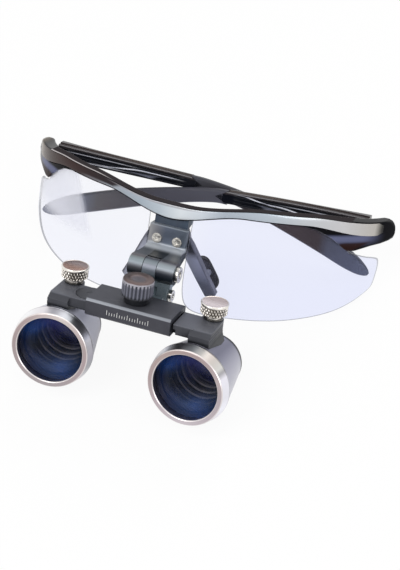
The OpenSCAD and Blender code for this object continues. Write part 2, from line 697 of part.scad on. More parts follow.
// Centre knob with its shaft, and the pinion on it
module centre_knob() {
  z0 = bar_high_z + 0.1;
  z1 = z0 + knob_collar_h;
  color([0.16, 0.16, 0.18]) in_loupe() translate([0, bar_mid_y, 0]) difference() {
    union() {
      post(0, 0, z0, z1, knob_collar_r);
      post(0, 0, level_high - 0.1, z0 + 1, knob_shaft_r);
      translate([0, 0, z1]) linear_extrude(knob_top_z - z1 - 0.8) polygon([for (i = [0:knob_ribs * 4 - 1])
        let (a = 90 * i / knob_ribs, r = knob_r - (i % 4 < 2 ? 0 : knob_rib_d)) [r * cos(a), r * sin(a)]]);
      translate([0, 0, knob_top_z - 0.8]) cylinder(r1 = knob_r - 0.1, r2 = knob_r - 0.9, h = 0.8);
    }
    translate([0, 0, knob_top_z - 0.7]) cylinder(r1 = 2.4, r2 = 3.6, h = 0.8);
  }
}
base_r = pitch_r * cos(gear_angle);
function inv_deg(r) = let (t = sqrt(max(0, r * r / (base_r * base_r) - 1))) t * 180 / PI - atan(t);
function tooth_half(r) = 90 / gear_teeth - gear_play / 4 / pitch_r * 180 / PI
  + inv_deg(pitch_r) - inv_deg(r);
tooth_rs = [pitch_r - 0.78, base_r, (base_r + pitch_r) / 2, pitch_r, pitch_r + 0.25, pitch_r + 0.5];
module pinion() {
  step = 360 / gear_teeth;
  color(steel) in_loupe() translate([0, bar_mid_y, 0]) {
    translate([0, 0, level_low + 0.2]) linear_extrude(level_h - 0.3)
      rotate([0, 0, 90]) polygon([for (k = [0:gear_teeth - 1]) each concat(
        [for (i = [0:5]) let (r = tooth_rs[i], a = (k + 0.5) * step - tooth_half(max(r, base_r)))
          [r * cos(a), r * sin(a)]],
        [for (i = [5:-1:0]) let (r = tooth_rs[i], a = (k + 0.5) * step + tooth_half(max(r, base_r)))
          [r * cos(a), r * sin(a)]])]);
    post(0, 0, bar_low_z, level_low + 0.2, 1.2);
  }
}

// Slide of the +X side as seen from above, z measured from the middle of the slides;
// the other side is the same piece turned over
module rack() {
  flat = pitch / 4 - gear_play / 4;
  t = tan(gear_angle);
  v0 = -channel_w / 2 + 0.1;
  translate([0, 0, -level_h / 2]) linear_extrude(level_h) {
    translate([-6.5, v0]) square([18.5, -pitch_r - 0.75 - v0]);
    for (k = [-3:6]) translate([k * pitch, -pitch_r]) polygon([[-flat - 0.75 * t, -0.8],
      [-flat - 0.75 * t, -0.75], [-flat + 0.55 * t, 0.55], [flat - 0.55 * t, 0.55],
      [flat + 0.75 * t, -0.75], [flat + 0.75 * t, -0.8]]);
  }
}
module slide_shape(sv) {
  v0 = -channel_w / 2 + 0.1;
  h = level_h / 2;
  sy = (swivel_y - bar_mid_y) * sv;
  difference() {
    union() {
      rack();
      box(8.5, 15.3, v0, 2.7, -h, h);
      box(15.2, 16.4, v0, -v0, -h, h);
      box(15.3, swivel_x, sy - disc_r + 0.4, sy + disc_r - 0.4, -h, -lap_gap / 2);
      translate([swivel_x, sy, -h]) cylinder(r = disc_r, h = h - lap_gap / 2);
    }
    post(swivel_x, sy, -h - 1, h, swivel_pin_r);
    box(swivel_x - disc_r - 0.3, swivel_x + 9, -9, 9, -lap_gap / 2, h + 1) ;
  }
}
module slide_left() {
  color([0.09, 0.1, 0.11]) in_loupe() translate([0, bar_mid_y, lap_z]) slide_shape(1);
}
module slide_right() {
  color([0.09, 0.1, 0.11]) in_loupe() translate([0, bar_mid_y, lap_z]) rotate([0, 0, 180]) mirror([0, 0, 1])
    slide_shape(-1);
}
module swivel_pin(sx) {
  z0 = sx > 0 ? level_low + 0.1 : level_low + 0.5;
  z1 = sx > 0 ? level_high - 0.5 : level_high - 0.1;
  color(steel) in_loupe() post(sx * swivel_x, swivel_y, z0, z1, swivel_pin_r);
}
module swivel_pin_left() { swivel_pin(1); }
module swivel_pin_right() { swivel_pin(-1); }

// Everything that swivels with a barrel
module barrel_cone(sx) {
  on_barrel(sx) translate([0, 0, shell_s0])
    cylinder(r1 = shell_front_r, r2 = shell_rear_r, h = shell_s1 - shell_s0);
}
module block(sx) {
  x0 = block_x - block_w / 2;
  x1 = block_x + block_w / 2;
  color(black) in_loupe() difference() {
    union() {
      mirror([sx > 0 ? 0 : 1, 0, 0]) {
        side_prism(x0, x1) polygon([[block_front, level_low], [screw_y, level_low], [screw_y, level_high],
          [block_front + block_bevel, level_high], [block_front, level_high - block_bevel_drop]]);
        box(swivel_x - 1.1, x0 + 1, arm_front, arm_rear, level_low, level_high);
        post(block_x, screw_y, level_low, level_high, block_w / 2);
      }
    }
    // the half lap that takes the slide's disc
    post(sx * swivel_x, swivel_y, sx > 0 ? level_low - 1 : lap_z - lap_gap / 2,
      sx > 0 ? lap_z + lap_gap / 2 : level_high + 1, disc_r + 0.25);
    if (sx > 0) box(swivel_x - 2, swivel_x, swivel_y - 9, swivel_y + 9, level_low - 1, lap_z + lap_gap / 2);
    else box(-swivel_x, -swivel_x + 2, swivel_y - disc_r - 0.25, swivel_y + 9, lap_z - lap_gap / 2,
      level_high + 1);
    post(sx * swivel_x, swivel_y, sx > 0 ? lap_z - 1 : level_low + 0.4,
      sx > 0 ? level_high - 0.4 : lap_z + 1, swivel_pin_r + 0.05);
    post(sx * block_x, screw_y, level_low - 1, level_high + 1, thumb_shank_r + 0.1);
    // two fine lines on the outer side
    for (z = [level_low + 1.1, level_low + 2.3]) box(sx * x1 - 0.2, sx * x1 + 0.2, 0, screw_y, z, z + 0.15);
  }
}
module saddle(sx) {
  color([0.08, 0.08, 0.09]) in_loupe() difference() {
    translate([sx * block_x, 0, 0]) front_prism(block_front + 0.3, saddle_rear) polygon([
      [-saddle_top_half, level_low], [-saddle_top_half, level_low - 0.9], [-saddle_foot_half, 9.5],
      [saddle_foot_half, 9.5], [saddle_top_half, level_low - 0.9], [saddle_top_half, level_low]]);
    barrel_cone(sx);
    on_barrel(sx) cylinder(r = seat_r - 1, h = 26);
    post(sx * block_x, screw_y, level_low - 3.2, level_low + 1, thumb_shank_r + 0.1);
  }
}
module barrel_shell(sx) {
  color([0.5, 0.5, 0.56]) in_loupe() on_barrel(sx) rotate_extrude() polygon([
    [spigot_r, shell_s0], [shell_front_r, shell_s0], [shell_rear_r, shell_s1], [eye_seat_r, shell_s1],
    [eye_seat_r, eye_lip_s], [eye_lip_r, eye_lip_s], [eye_lip_r, sleeve_s], [sleeve_r, sleeve_s],
    [seat_r, spigot_s], [spigot_r, spigot_s]]);
}
module bezel(sx) {
  color(silver) in_loupe() on_barrel(sx) rotate_extrude() polygon([
    [mouth_r, 0.25], [mouth_r + 0.25, 0], [ring_r - 0.3, 0], [ring_r, 0.3], [bezel_r, bezel_len - 0.6],
    [bezel_r, bezel_len - 0.15], [bezel_r - 0.15, bezel_len], [spigot_r, bezel_len], [spigot_r, spigot_s],
    [seat_r, spigot_s], [seat_r, mouth_depth], [mouth_r, mouth_depth]]);
}
module seal(sx) {
  color([0.02, 0.02, 0.02]) in_loupe() on_barrel(sx) translate([0, 0, bezel_len]) difference() {
    cylinder(r = shell_front_r, h = seal_t);
    translate([0, 0, -1]) cylinder(r = spigot_r, h = seal_t + 2);
  }
}
module objective(sx) {
  f = lens_front_sphere;
  b = lens_back_sphere;
  sag_f = front_sag;
  sag_b = b - sqrt(b * b - seat_r * seat_r);
  color([0.1, 0.13, 0.4]) in_loupe() on_barrel(sx) intersection() {
    translate([0, 0, lens_s - sag_f - 1]) cylinder(r = seat_r, h = 20);
    translate([0, 0, lens_s - sag_f + f]) sphere(r = f, $fn = 240);
    translate([0, 0, lens_s + lens_edge + sag_b - b]) sphere(r = b, $fn = 240);
  }
}
module baffle(sx) {
  k = (sleeve_r - seat_r) / (sleeve_s - spigot_s);
  color([0.02, 0.02, 0.03]) in_loupe() on_barrel(sx) rotate_extrude() polygon(concat(
    [[seat_r, spigot_s], [sleeve_r, sleeve_s]],
    [for (i = [ribs:-1:1]) let (s = spigot_s + rib_pitch * i, r = seat_r + k * (s - spigot_s),
      t = rib_front_r + (rib_rear_r - rib_front_r) * (i - 1) / (ribs - 1)) each
      [[t, s], [t, s - 0.25], [r - 0.45 - k * rib_pitch * 0.7, s - rib_pitch + 0.05]]]));
}
module eye_lens(sx) {
  r = eye_sphere;
  a = eye_lip_s - 1;
  color([0.5, 0.5, 0.7]) in_loupe() on_barrel(sx) intersection() {
    translate([0, 0, a - 1]) cylinder(r = eye_seat_r, h = 6);
    translate([0, 0, a + r]) sphere(r = r, $fn = 240);
    translate([0, 0, barrel_len - 0.6 - r]) sphere(r = r, $fn = 240);
  }
}
module eye_ring(sx) {
  color(black) in_loupe() on_barrel(sx) rotate_extrude() polygon([
    [eye_r, shell_s1], [rim_r, shell_s1], [rim_r, rim_s], [rim_r - 0.3, barrel_len], [eye_r, barrel_len]]);
}
module thumbscrew(sx) {
  z0 = level_high;
  z1 = z0 + thumb_collar_h;
  z2 = z1 + thumb_knurl_h;
  n = 36;
  color(silver) in_loupe() translate([sx * block_x, screw_y, 0]) {
    difference() {
      union() {
        post(0, 0, z0 - thumb_shank_len, z0 + 1, thumb_shank_r);
        post(0, 0, z0 + 0.05, z0 + 0.9, 3.6);
        post(0, 0, z0 + 0.8, z1, 3.1);
        translate([0, 0, z1 - 0.8]) cylinder(r1 = 3.1, r2 = thumb_r - 0.5, h = 0.8);
        translate([0, 0, z1]) linear_extrude(thumb_knurl_h) polygon([for (i = [0:2 * n - 1])
          let (a = 180 * i / n, r = thumb_r - (i % 2) * 0.35) [r * cos(a), r * sin(a)]]);
        post(0, 0, z2 - eps, z2 + thumb_rim_h, thumb_rim_r);
      }
      post(0, 0, z2 + thumb_rim_h - 0.25, z2 + thumb_rim_h + 1, thumb_rim_r - 0.5);
    }
  }
}
module block_left() { block(1); }
module block_right() { block(-1); }
module saddle_left() { saddle(1); }
module saddle_right() { saddle(-1); }
module barrel_shell_left() { barrel_shell(1); }
module barrel_shell_right() { barrel_shell(-1); }
module bezel_left() { bezel(1); }
module bezel_right() { bezel(-1); }
module seal_left() { seal(1); }
module seal_right() { seal(-1); }
module objective_left() { objective(1); }
module objective_right() { objective(-1); }
module baffle_left() { baffle(1); }
module baffle_right() { baffle(-1); }
module eye_lens_left() { eye_lens(1); }
module eye_lens_right() { eye_lens(-1); }
module eye_ring_left() { eye_ring(1); }
module eye_ring_right() { eye_ring(-1); }
module thumbscrew_left() { thumbscrew(1); }
module thumbscrew_right() { thumbscrew(-1); }

brow_frame();
brow_trim();
end_piece_left();
end_piece_right();
lens_left();
lens_right();
nose_bridge();
nose_pad_left();
nose_pad_right();
frame_plate();
mount_block();
mount_screws();
flip_pin();
hinge_pin_left();
hinge_pin_right();
temple_left();
temple_shell_left();
temple_tip_left();
temple_right();
temple_shell_right();
temple_tip_right();
flip_link();
tilt_pin();
bar_housing();
bar_cover();
bar_bracket();
bracket_screws();
centre_knob();
pinion();
slide_left();
slide_right();
swivel_pin_left();
swivel_pin_right();
block_left();
saddle_left();
barrel_shell_left();
bezel_left();
seal_left();
objective_left();
baffle_left();
eye_lens_left();
eye_ring_left();
thumbscrew_left();
block_right();
saddle_right();
barrel_shell_right();
bezel_right();
seal_right();
objective_right();
baffle_right();
eye_lens_right();
eye_ring_right();
thumbscrew_right();
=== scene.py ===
"""Looks of a pair of surgical loupe glasses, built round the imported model.

Every new piece is a surface of two parameters, worked out as whole arrays in millimetres
in the frame of its own sub-assembly, and then placed in the shared frame in metres.
"""
import json
import math

import bmesh
import bpy
import numpy as np
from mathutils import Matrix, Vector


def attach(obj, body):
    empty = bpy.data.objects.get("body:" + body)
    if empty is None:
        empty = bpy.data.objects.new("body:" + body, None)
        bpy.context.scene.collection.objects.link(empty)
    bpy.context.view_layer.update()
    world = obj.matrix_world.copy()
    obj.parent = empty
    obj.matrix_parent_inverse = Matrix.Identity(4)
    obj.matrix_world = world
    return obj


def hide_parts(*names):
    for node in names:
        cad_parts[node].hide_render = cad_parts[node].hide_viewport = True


bl_info = {
    "name": "Surgical loupe glasses",
    "version": (1, 0, 0),
    "blender": (4, 5, 0),
    "location": "View3D > Sidebar > Loupe",
    "description": "Builds the visible pieces of a flip-up loupe on wrap glasses",
    "category": "Object",
}

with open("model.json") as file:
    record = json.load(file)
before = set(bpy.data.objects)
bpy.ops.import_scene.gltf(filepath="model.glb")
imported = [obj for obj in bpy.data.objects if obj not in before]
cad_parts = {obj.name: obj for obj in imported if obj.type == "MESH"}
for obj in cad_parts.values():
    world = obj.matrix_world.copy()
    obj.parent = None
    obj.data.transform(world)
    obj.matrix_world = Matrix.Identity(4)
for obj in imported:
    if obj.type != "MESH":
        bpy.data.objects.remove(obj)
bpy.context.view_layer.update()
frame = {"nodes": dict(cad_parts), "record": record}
BODY_OF = {n: b for b, ns in frame["record"]["behaviour"]["bodies"].items() for n in ns}
MM = 0.001
DEGREES = math.degrees(1)
UV_MAP, SMOOTH, MERGE, TINY = "Surface", 32, 2e-6, 1e-9
SIDES = (("left", 1), ("right", -1))

# Sizes shared with the model's structure, in millimetres and degrees
STAND_TILT, FRONT_TILT, TOE_IN = 25.5, 6.5, 4.0
LOUPE_SIDE, STANCE_Y = 0.8, -47.918
FRONT_BACK, FRONT_UP = 42.0, 42.0
BARREL_LEN, REAR_R, PUPIL_HALF = 28.5, 10.4, 26.5
SLEEVE_R, SLEEVE_LOW, SLEEVE_HIGH, RIBS, RIB_PITCH = (13.4, 9.6), 8.0, 24.8, 10, 1.68
WRAP_R, BROW_T, END_T = 82.0, 5.0, 5.4
LENS_R, LENS_T = 80.7, 1.8
BROW_HALF, TRIM_HALF = 62.0, 71.8
HINGE_X, HINGE_Y, END_BACK, END_RUN = 69.5, 45.0, 4.0, 13.18
ROOT_Y, STRAIGHT, TIP_LEN, TIP_ROUND, PANEL_X = 4.2, 64.0, 73.6, 14.0, 1.75
# By side, 1 on the left and -1 on the right: how far a temple is folded at rest, the height of
# its neck, and the drop and the power of its tip's bend
FOLD = {1: 91.0, -1: 87.8}
NECK_Z = {1: 2.9, -1: 4.6}
DROP = {1: 22.708, -1: 19.837}
BEND = {1: 1.27, -1: 1.55}
BLOCK_X, SCREW_Y, LEVEL_LOW, LEVEL_HIGH = 27.5, 20.6, 15.6, 19.5
BAR_MID_Y, BAR_FRONT, BAR_LOW, BAR_HIGH, BAR_END = 13.8, 6.0, 14.9, 21.5, 16.35
PIN_Y, PIN_Z = -13.511, -13.919


# Places: four by four matrices in millimetres
def shift(x, y, z):
    m = np.eye(4)
    m[:3, 3] = x, y, z
    return m


def turn(axis, degrees):
    """Right-handed turn about one of the axes 0, 1, 2."""
    a = math.radians(degrees)
    i, j = (axis + 1) % 3, (axis + 2) % 3
    m = np.eye(4)
    m[i, i] = m[j, j] = math.cos(a)
    m[i, j], m[j, i] = -math.sin(a), math.sin(a)
    return m


def mirror_x(sx):
    return np.diag([sx, 1.0, 1.0, 1.0])


# The barrels stand on the lowest points of their rear rims
LEAN = math.cos(math.radians(TOE_IN)) * math.sin(math.radians(STAND_TILT))
LIFT = (BARREL_LEN - 0.3) * LEAN + (REAR_R - 0.1) * math.sqrt(1 - LEAN * LEAN)
LOUPE = shift(LOUPE_SIDE, STANCE_Y, LIFT) @ turn(0, -STAND_TILT)
MOUNT = LOUPE @ shift(0, FRONT_BACK, FRONT_UP) @ turn(0, -FRONT_TILT)
GLASSES = MOUNT @ shift(-LOUPE_SIDE, 0, 0)


def barrel_place(sx):
    """Local z runs down the barrel from its mouth."""
    return LOUPE @ shift(sx * PUPIL_HALF, 0, 0) @ turn(2, -sx * TOE_IN) @ turn(0, -90)


def temple_place(sx):
    """Local y runs along the temple from its hinge, and x points to its outer side."""
    return GLASSES @ shift(sx * HINGE_X, HINGE_Y, 0) @ turn(2, sx * FOLD[sx]) @ mirror_x(sx)


def placed(points, place):
    return (points @ place[:3, :3].T + place[:3, 3]) * MM


# Shapes
def soften(corners, radius, steps=4, closed=True):
    """Rounds the corners of polylines held as (..., corners, dims).

    Each corner P becomes the curve (1-t)^2 A + 2t(1-t) P + t^2 B, where A and B lie on the
    two sides, a radius away from P but never past 0.45 of a side."""
    p = np.asarray(corners, float)
    before, after = np.roll(p, 1, -2), np.roll(p, -1, -2)
    r = np.broadcast_to(np.asarray(radius, float), p.shape[:-1])[..., None]

    def toward(q):
        length = np.linalg.norm(q - p, axis=-1, keepdims=True) + TINY
        return (p + (q - p) / length * np.minimum(r, 0.45 * length))[..., None, :]

    t = np.linspace(0, 1, steps + 1)[:, None]
    middle = 2 * t * (1 - t) * p[..., None, :]
    curve = (1 - t) ** 2 * toward(before) + middle + t ** 2 * toward(after)
    if not closed:
        curve[..., 0, :, :] = p[..., 0, None, :]
        curve[..., -1, :, :] = p[..., -1, None, :]
    return curve.reshape(*p.shape[:-2], -1, p.shape[-1])


def circle(count):
    """Angles of a full turn, evenly spaced."""
    return np.linspace(0, 2 * np.pi, count, endpoint=False)


def as_uv(u, v):
    return np.stack(np.broadcast_arrays(u, v), -1).reshape(-1, 2)


def grid(points, around=False, across=False, ends=False):
    """Vertices, faces and UVs of a surface held as rows and columns of points.

    around joins the last column to the first, across the last row to the first, and ends
    closes the first and last row with one face each. UV is the share of the way along the
    rows, and the distance along the columns in millimetres."""
    rows, cols = points.shape[:2]
    i, j = np.indices((rows if across else rows - 1, cols if around else cols - 1))
    i2, j2 = (i + 1) % rows, (j + 1) % cols
    quads = np.stack([i * cols + j, i2 * cols + j, i2 * cols + j2, i * cols + j2], -1)
    faces = quads.reshape(-1, 4).tolist()
    if ends:
        faces.append(list(range(cols)))
        faces.append(list(range((rows - 1) * cols, rows * cols))[::-1])
    run = np.linalg.norm(np.diff(points, axis=1, prepend=points[:, :1]), axis=2).cumsum(1)
    return points.reshape(-1, 3), faces, as_uv(np.linspace(0, 1, rows)[:, None], run)


def lathe(profile, turns=128, radius_of=None):
    """Surface of revolution: (r, s) becomes (r cos a, r sin a, s) for a full turn of a.

    radius_of(a, r, s), where given, changes r over the surface, as for knurling."""
    r, s = np.asarray(profile, float).T
    a = circle(turns)[:, None]
    rr = np.broadcast_to(r, (turns, len(r)))
    ss = np.broadcast_to(s, (turns, len(r)))
    if radius_of:
        rr = radius_of(a, rr, ss)
    return grid(np.stack([rr * np.cos(a), rr * np.sin(a), ss], -1), across=True)


def turned(corners, radius=0.12, turns=128, steps=3, radius_of=None):
    """Lathe of a closed (r, s) outline with its corners softened; the seam is closed too."""
    p = soften(np.array(corners, float), radius, steps)
    return lathe(np.vstack([p, p[:1]]), turns, radius_of)


def solid_turned(corners, radius=0.12, turns=96, steps=3, radius_of=None):
    """Lathe of an open (r, s) outline that starts and ends on the axis."""
    return lathe(soften(np.array(corners, float), radius, steps, closed=False), turns, radius_of)


def prism(outline, z0, z1, edge=0.2, round_by=0.0, steps=3):
    """Upright solid over a closed (x, y) outline, its two rims rounded by edge.

    Ring k lies at height z0 + edge (1 - cos t) and is drawn in by edge (1 - sin t), t from
    0 to a quarter turn, and the same from the top."""
    p = np.asarray(outline, float)
    if round_by:
        p = soften(p, round_by, steps)
    fore, aft = np.roll(p, -1, 0) - p, p - np.roll(p, 1, 0)

    def normals(d):
        return np.stack([d[:, 1], -d[:, 0]], 1) / (np.linalg.norm(d, axis=1, keepdims=True) + TINY)

    n = normals(fore) + normals(aft)
    n /= np.maximum(np.linalg.norm(n, axis=1, keepdims=True), 0.6)
    area = np.sum(p[:, 0] * np.roll(p[:, 1], -1) - np.roll(p[:, 0], -1) * p[:, 1])
    n *= np.sign(area)
    t = np.linspace(0, np.pi / 2, steps + 1)
    low = [(z0 + edge * (1 - math.cos(k)), edge * (1 - math.sin(k))) for k in t]
    rings = low + [(z0 + z1 - z, d) for z, d in low[::-1]]
    rows = [np.column_stack([p - n * d, np.full(len(p), z)]) for z, d in rings]
    return grid(np.array(rows), around=True, ends=True)


def oblong(x0, x1, y0, y1):
    return [(x0, y0), (x1, y0), (x1, y1), (x0, y1)]


def ease(t):
    """3 t^2 - 2 t^3, with t held between 0 and 1."""
    t = np.clip(t, 0, 1)
    return t * t * (3 - 2 * t)


# Outlines of the brow, the fairings, the side lenses and the temples
def brow_low(x):
    """Lower edge: it rises by an ease over 28 mm on each side and falls by one past 48 mm."""
    x = np.abs(x)
    return 1.9 + 5.1 * ease(x / 28) - 4.1 * ease((x - 48) / 22)


def brow_top(x):
    """Upper edge: it rises by an ease from 6 to 36 mm and falls by one from 50 to 70 mm."""
    x = np.abs(x)
    return 7.7 + 3.2 * ease((x - 6) / 30) - 2.4 * ease((x - 50) / 20)


def wrapped(x, z, r):
    """A point of the front view laid on the upright wrap: y = WRAP_R - sqrt(r^2 - x^2)."""
    y = WRAP_R - np.sqrt(np.maximum(r * r - x * x, 0))
    return np.stack([x, y, z], -1)


def wrap_bar(x, section, y_max=np.inf):
    """Bar along the wrap: section holds (z, r) outlines, one for each x."""
    xs = np.broadcast_to(x[:, None], section.shape[:2])
    p = wrapped(xs, section[..., 0], section[..., 1])
    p[..., 1] = np.minimum(p[..., 1], y_max)
    return grid(p, around=True, ends=True)


def wrap_sheet(outline, spine_x, spine_z, r_out, r_in, rings=22, edge=5):
    """Curved sheet over a closed outline: rings run from a spine out to the rim on the
    front, round the rim in a half circle, and back to the spine behind."""
    x, z = np.asarray(outline, float).T
    sx = np.clip(x, *spine_x)
    sz = np.interp(sx, spine_x, spine_z)
    half = (r_out - r_in) / 2
    share = np.linspace(0, 1, rings) ** 0.8
    a = np.linspace(0, np.pi, edge + 2)[1:-1]
    length = np.hypot(x - sx, z - sz)
    inset = 1 - half / length
    rows = [(s * inset, r_out) for s in share]
    rows += [(inset + np.sin(k) * half / length, (r_out + r_in) / 2 + np.cos(k) * half) for k in a]
    rows += [(s * inset, r_in) for s in share[::-1]]
    pts = np.array([wrapped(sx + (x - sx) * s, sz + (z - sz) * s, r) for s, r in rows])
    v, f, _ = grid(pts, around=True)
    level = np.repeat(np.array([np.mean(s) for s, _ in rows]), len(x))
    return v, f, np.column_stack([np.tile(np.arange(len(x)) / len(x), len(rows)), level])


def temple_mid(y, sx):
    """Height of the straight part's middle: a parabola from the root to the neck."""
    t = np.maximum(0, y - ROOT_Y) / (STRAIGHT - ROOT_Y)
    return 4.95 + (NECK_Z[sx] - 4.95) * t ** 2


def temple_half(y):
    """Half height of the straight part, which falls in a line from the root to the neck."""
    return (7.1 + (5.6 - 7.1) * (y - ROOT_Y) / (STRAIGHT - ROOT_Y)) / 2


def tip_mid(s, sx):
    """Height of the tip's middle: the neck's, less DROP (s / TIP_LEN)^BEND."""
    return NECK_Z[sx] - DROP[sx] * (np.maximum(0, s) / TIP_LEN) ** BEND[sx]


def tip_half(s):
    """Half height of the tip: an ease from 2.8 to 4.2 mm, times sqrt(1 - b^2) where b runs
    from 0 to 1 over the round end."""
    swell = 2.8 + 1.4 * ease(s / (TIP_LEN * 0.68))
    back = np.maximum(0, s - TIP_LEN + TIP_ROUND) / TIP_ROUND
    return swell * np.sqrt(np.maximum(0, 1 - back ** 2))


# Making objects
def add(name, data):
    o = bpy.data.objects.new(name, data)
    bpy.context.scene.collection.objects.link(o)
    return o


def smooth(mesh, angle):
    mesh.shade_smooth()
    mesh.set_sharp_from_angle(angle=math.radians(angle))


def mesh_of(name, parts, place, angle):
    """A clean mesh from several parts, placed in the shared frame, with one UV map."""
    verts, faces, uvs, start = [], [], [], 0
    for v, f, uv in parts:
        verts.append(placed(v, place))
        faces += [[k + start for k in face] for face in f]
        uvs.append(uv)
        start += len(v)
    mesh = bpy.data.meshes.new(name)
    mesh.from_pydata(np.vstack(verts).tolist(), [], faces)
    index = np.zeros(len(mesh.loops), int)
    mesh.loops.foreach_get("vertex_index", index)
    layer = mesh.uv_layers.new(name=UV_MAP)
    layer.data.foreach_set("uv", np.vstack(uvs)[index].astype(np.float32).ravel())
    bm = bmesh.new()
    bm.from_mesh(mesh)
    bmesh.ops.remove_doubles(bm, verts=bm.verts, dist=MERGE)
    bmesh.ops.dissolve_degenerate(bm, dist=MERGE / 2, edges=bm.edges)
    bmesh.ops.recalc_face_normals(bm, faces=bm.faces)
    bm.to_mesh(mesh)
    bm.free()
    smooth(mesh, angle)
    mesh.validate()
    return mesh


def even_normals(o):
    o.modifiers.new("Even normals", "WEIGHTED_NORMAL").keep_sharp = True


def keep(name, mesh, material, node, weighted=True, stands_in=True):
    """Links a piece that rides on its node's body, and that replaces the node by default."""
    o = add(name, mesh)
    mesh.materials.append(material)
    if weighted:
        even_normals(o)
    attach(o, BODY_OF[node])
    if stands_in:
        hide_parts(node)
    return o


def build(name, parts, place, material, node, angle=SMOOTH, **marks):
    """One piece from parts that are worked out in the same place's millimetres."""
    return keep(name, mesh_of(name, parts, place, angle), material, node, **marks)


def machined(node, material, share=1.0):
    """A node's own form, its flat faces joined and its sharp edges broken by a chamfer."""
    mesh = frame["nodes"][node].data.copy()
    mesh.materials.clear()
    bm = bmesh.new()
    bm.from_mesh(mesh)
    bmesh.ops.remove_doubles(bm, verts=bm.verts, dist=MERGE)
    bmesh.ops.dissolve_limit(
        bm, angle_limit=math.radians(0.4), use_dissolve_boundaries=False, verts=bm.verts,
        edges=bm.edges, delimit={"NORMAL"})
    bm.to_mesh(mesh)
    bm.free()
    smooth(mesh, 60)
    bevel = keep(node + "_finished", mesh, material, node, weighted=False).modifiers.new(
        "Broken edges", "BEVEL")
    bevel.width, bevel.segments = sizes().broken_edge * share * MM, 2
    bevel.limit_method, bevel.angle_limit = "ANGLE", math.radians(24)
    bevel.use_clamp_overlap = bevel.harden_normals = True


def dress(node, material):
    """Gives a node that stays its finish."""
    slots = frame["nodes"][node].data.materials
    if not len(slots):
        slots.append(material)
    for k in range(len(slots)):
        slots[k] = material


# Shader maths
def tone(red, green, blue):
    """A colour as it is seen, 0 to 255, as the four linear values that Blender stores."""
    c = np.array([red, green, blue]) / 255
    return (*np.where(c <= 0.04045, c / 12.92, ((c + 0.055) / 1.055) ** 2.4).tolist(), 1.0)


def linear(colour):
    """Three numbers are a colour as seen; wires and linear colours stay as they are."""
    return tone(*colour) if isinstance(colour, tuple) and len(colour) == 3 else colour


def maths(operation, swapped=False):
    """A method that adds one Math node on two values."""
    def method(self, other):
        return self.finish.math(operation, *((other, self) if swapped else (self, other)))
    return method


class Wire:
    """A socket of a finish, on which Python's operators add Math nodes."""

    __add__ = __radd__ = maths("ADD")
    __sub__, __rsub__ = maths("SUBTRACT"), maths("SUBTRACT", swapped=True)
    __mul__ = __rmul__ = maths("MULTIPLY")
    __truediv__, __rtruediv__ = maths("DIVIDE"), maths("DIVIDE", swapped=True)
    __gt__, __lt__ = maths("GREATER_THAN"), maths("LESS_THAN")
    most, least = maths("MAXIMUM"), maths("MINIMUM")

    def __init__(self, finish, socket):
        self.finish, self.socket = finish, socket

    def __abs__(self):
        return self.finish.math("ABSOLUTE", self)

    def sine(self):
        return self.finish.math("SINE", self)

    def rise(self, start, end):
        """0 before start and 1 after end, with a soft step between them."""
        return self.finish.node(
            "ShaderNodeMapRange", {"interpolation_type": "SMOOTHSTEP"}, {0: self, 1: start, 2: end})

    def fall(self, start, end):
        return 1 - self.rise(start, end)

    def band(self, start, full, fade, end):
        """1 from full to fade, and 0 before start and after end."""
        return self.rise(start, full) * self.fall(fade, end)


def set_stops(elements, stops):
    """Gives a new ramp, which has two elements, its pairs of a position and a colour."""
    for _ in stops[2:]:
        elements.new(0.5)
    for element, (at, _) in zip(elements, stops):
        element.position = at
    for element, (_, colour) in zip(elements, stops):
        element.color = colour


class Nodes:
    """A node tree, and one method that adds every node to it."""

    def __init__(self, tree):
        self.tree = tree

    def node(self, kind, settings=None, sockets=None, out=0):
        """Settings come first, a ramp's stops among them, and then values or links."""
        n = self.tree.nodes.new(kind)
        for key, value in (settings or {}).items():
            if key == "stops":
                set_stops(n.color_ramp.elements, value)
            else:
                setattr(n, key, value)
        for key, value in (sockets or {}).items():
            self.feed(n.inputs[key], value)
        return Wire(self, n.outputs[out])

    def feed(self, socket, value):
        if isinstance(value, Wire):
            self.tree.links.new(value.socket, socket)
        else:
            socket.default_value = value

    def math(self, operation, *values):
        return self.node("ShaderNodeMath", {"operation": operation}, dict(enumerate(values)))

    def seen(self):
        """1 for camera, glossy and transmission rays."""
        rays = self.node("ShaderNodeLightPath").socket.node.outputs
        camera, glossy, through = [
            Wire(self, rays[f"Is {kind} Ray"]) for kind in ("Camera", "Glossy", "Transmission")]
        return camera.most(glossy).most(through)


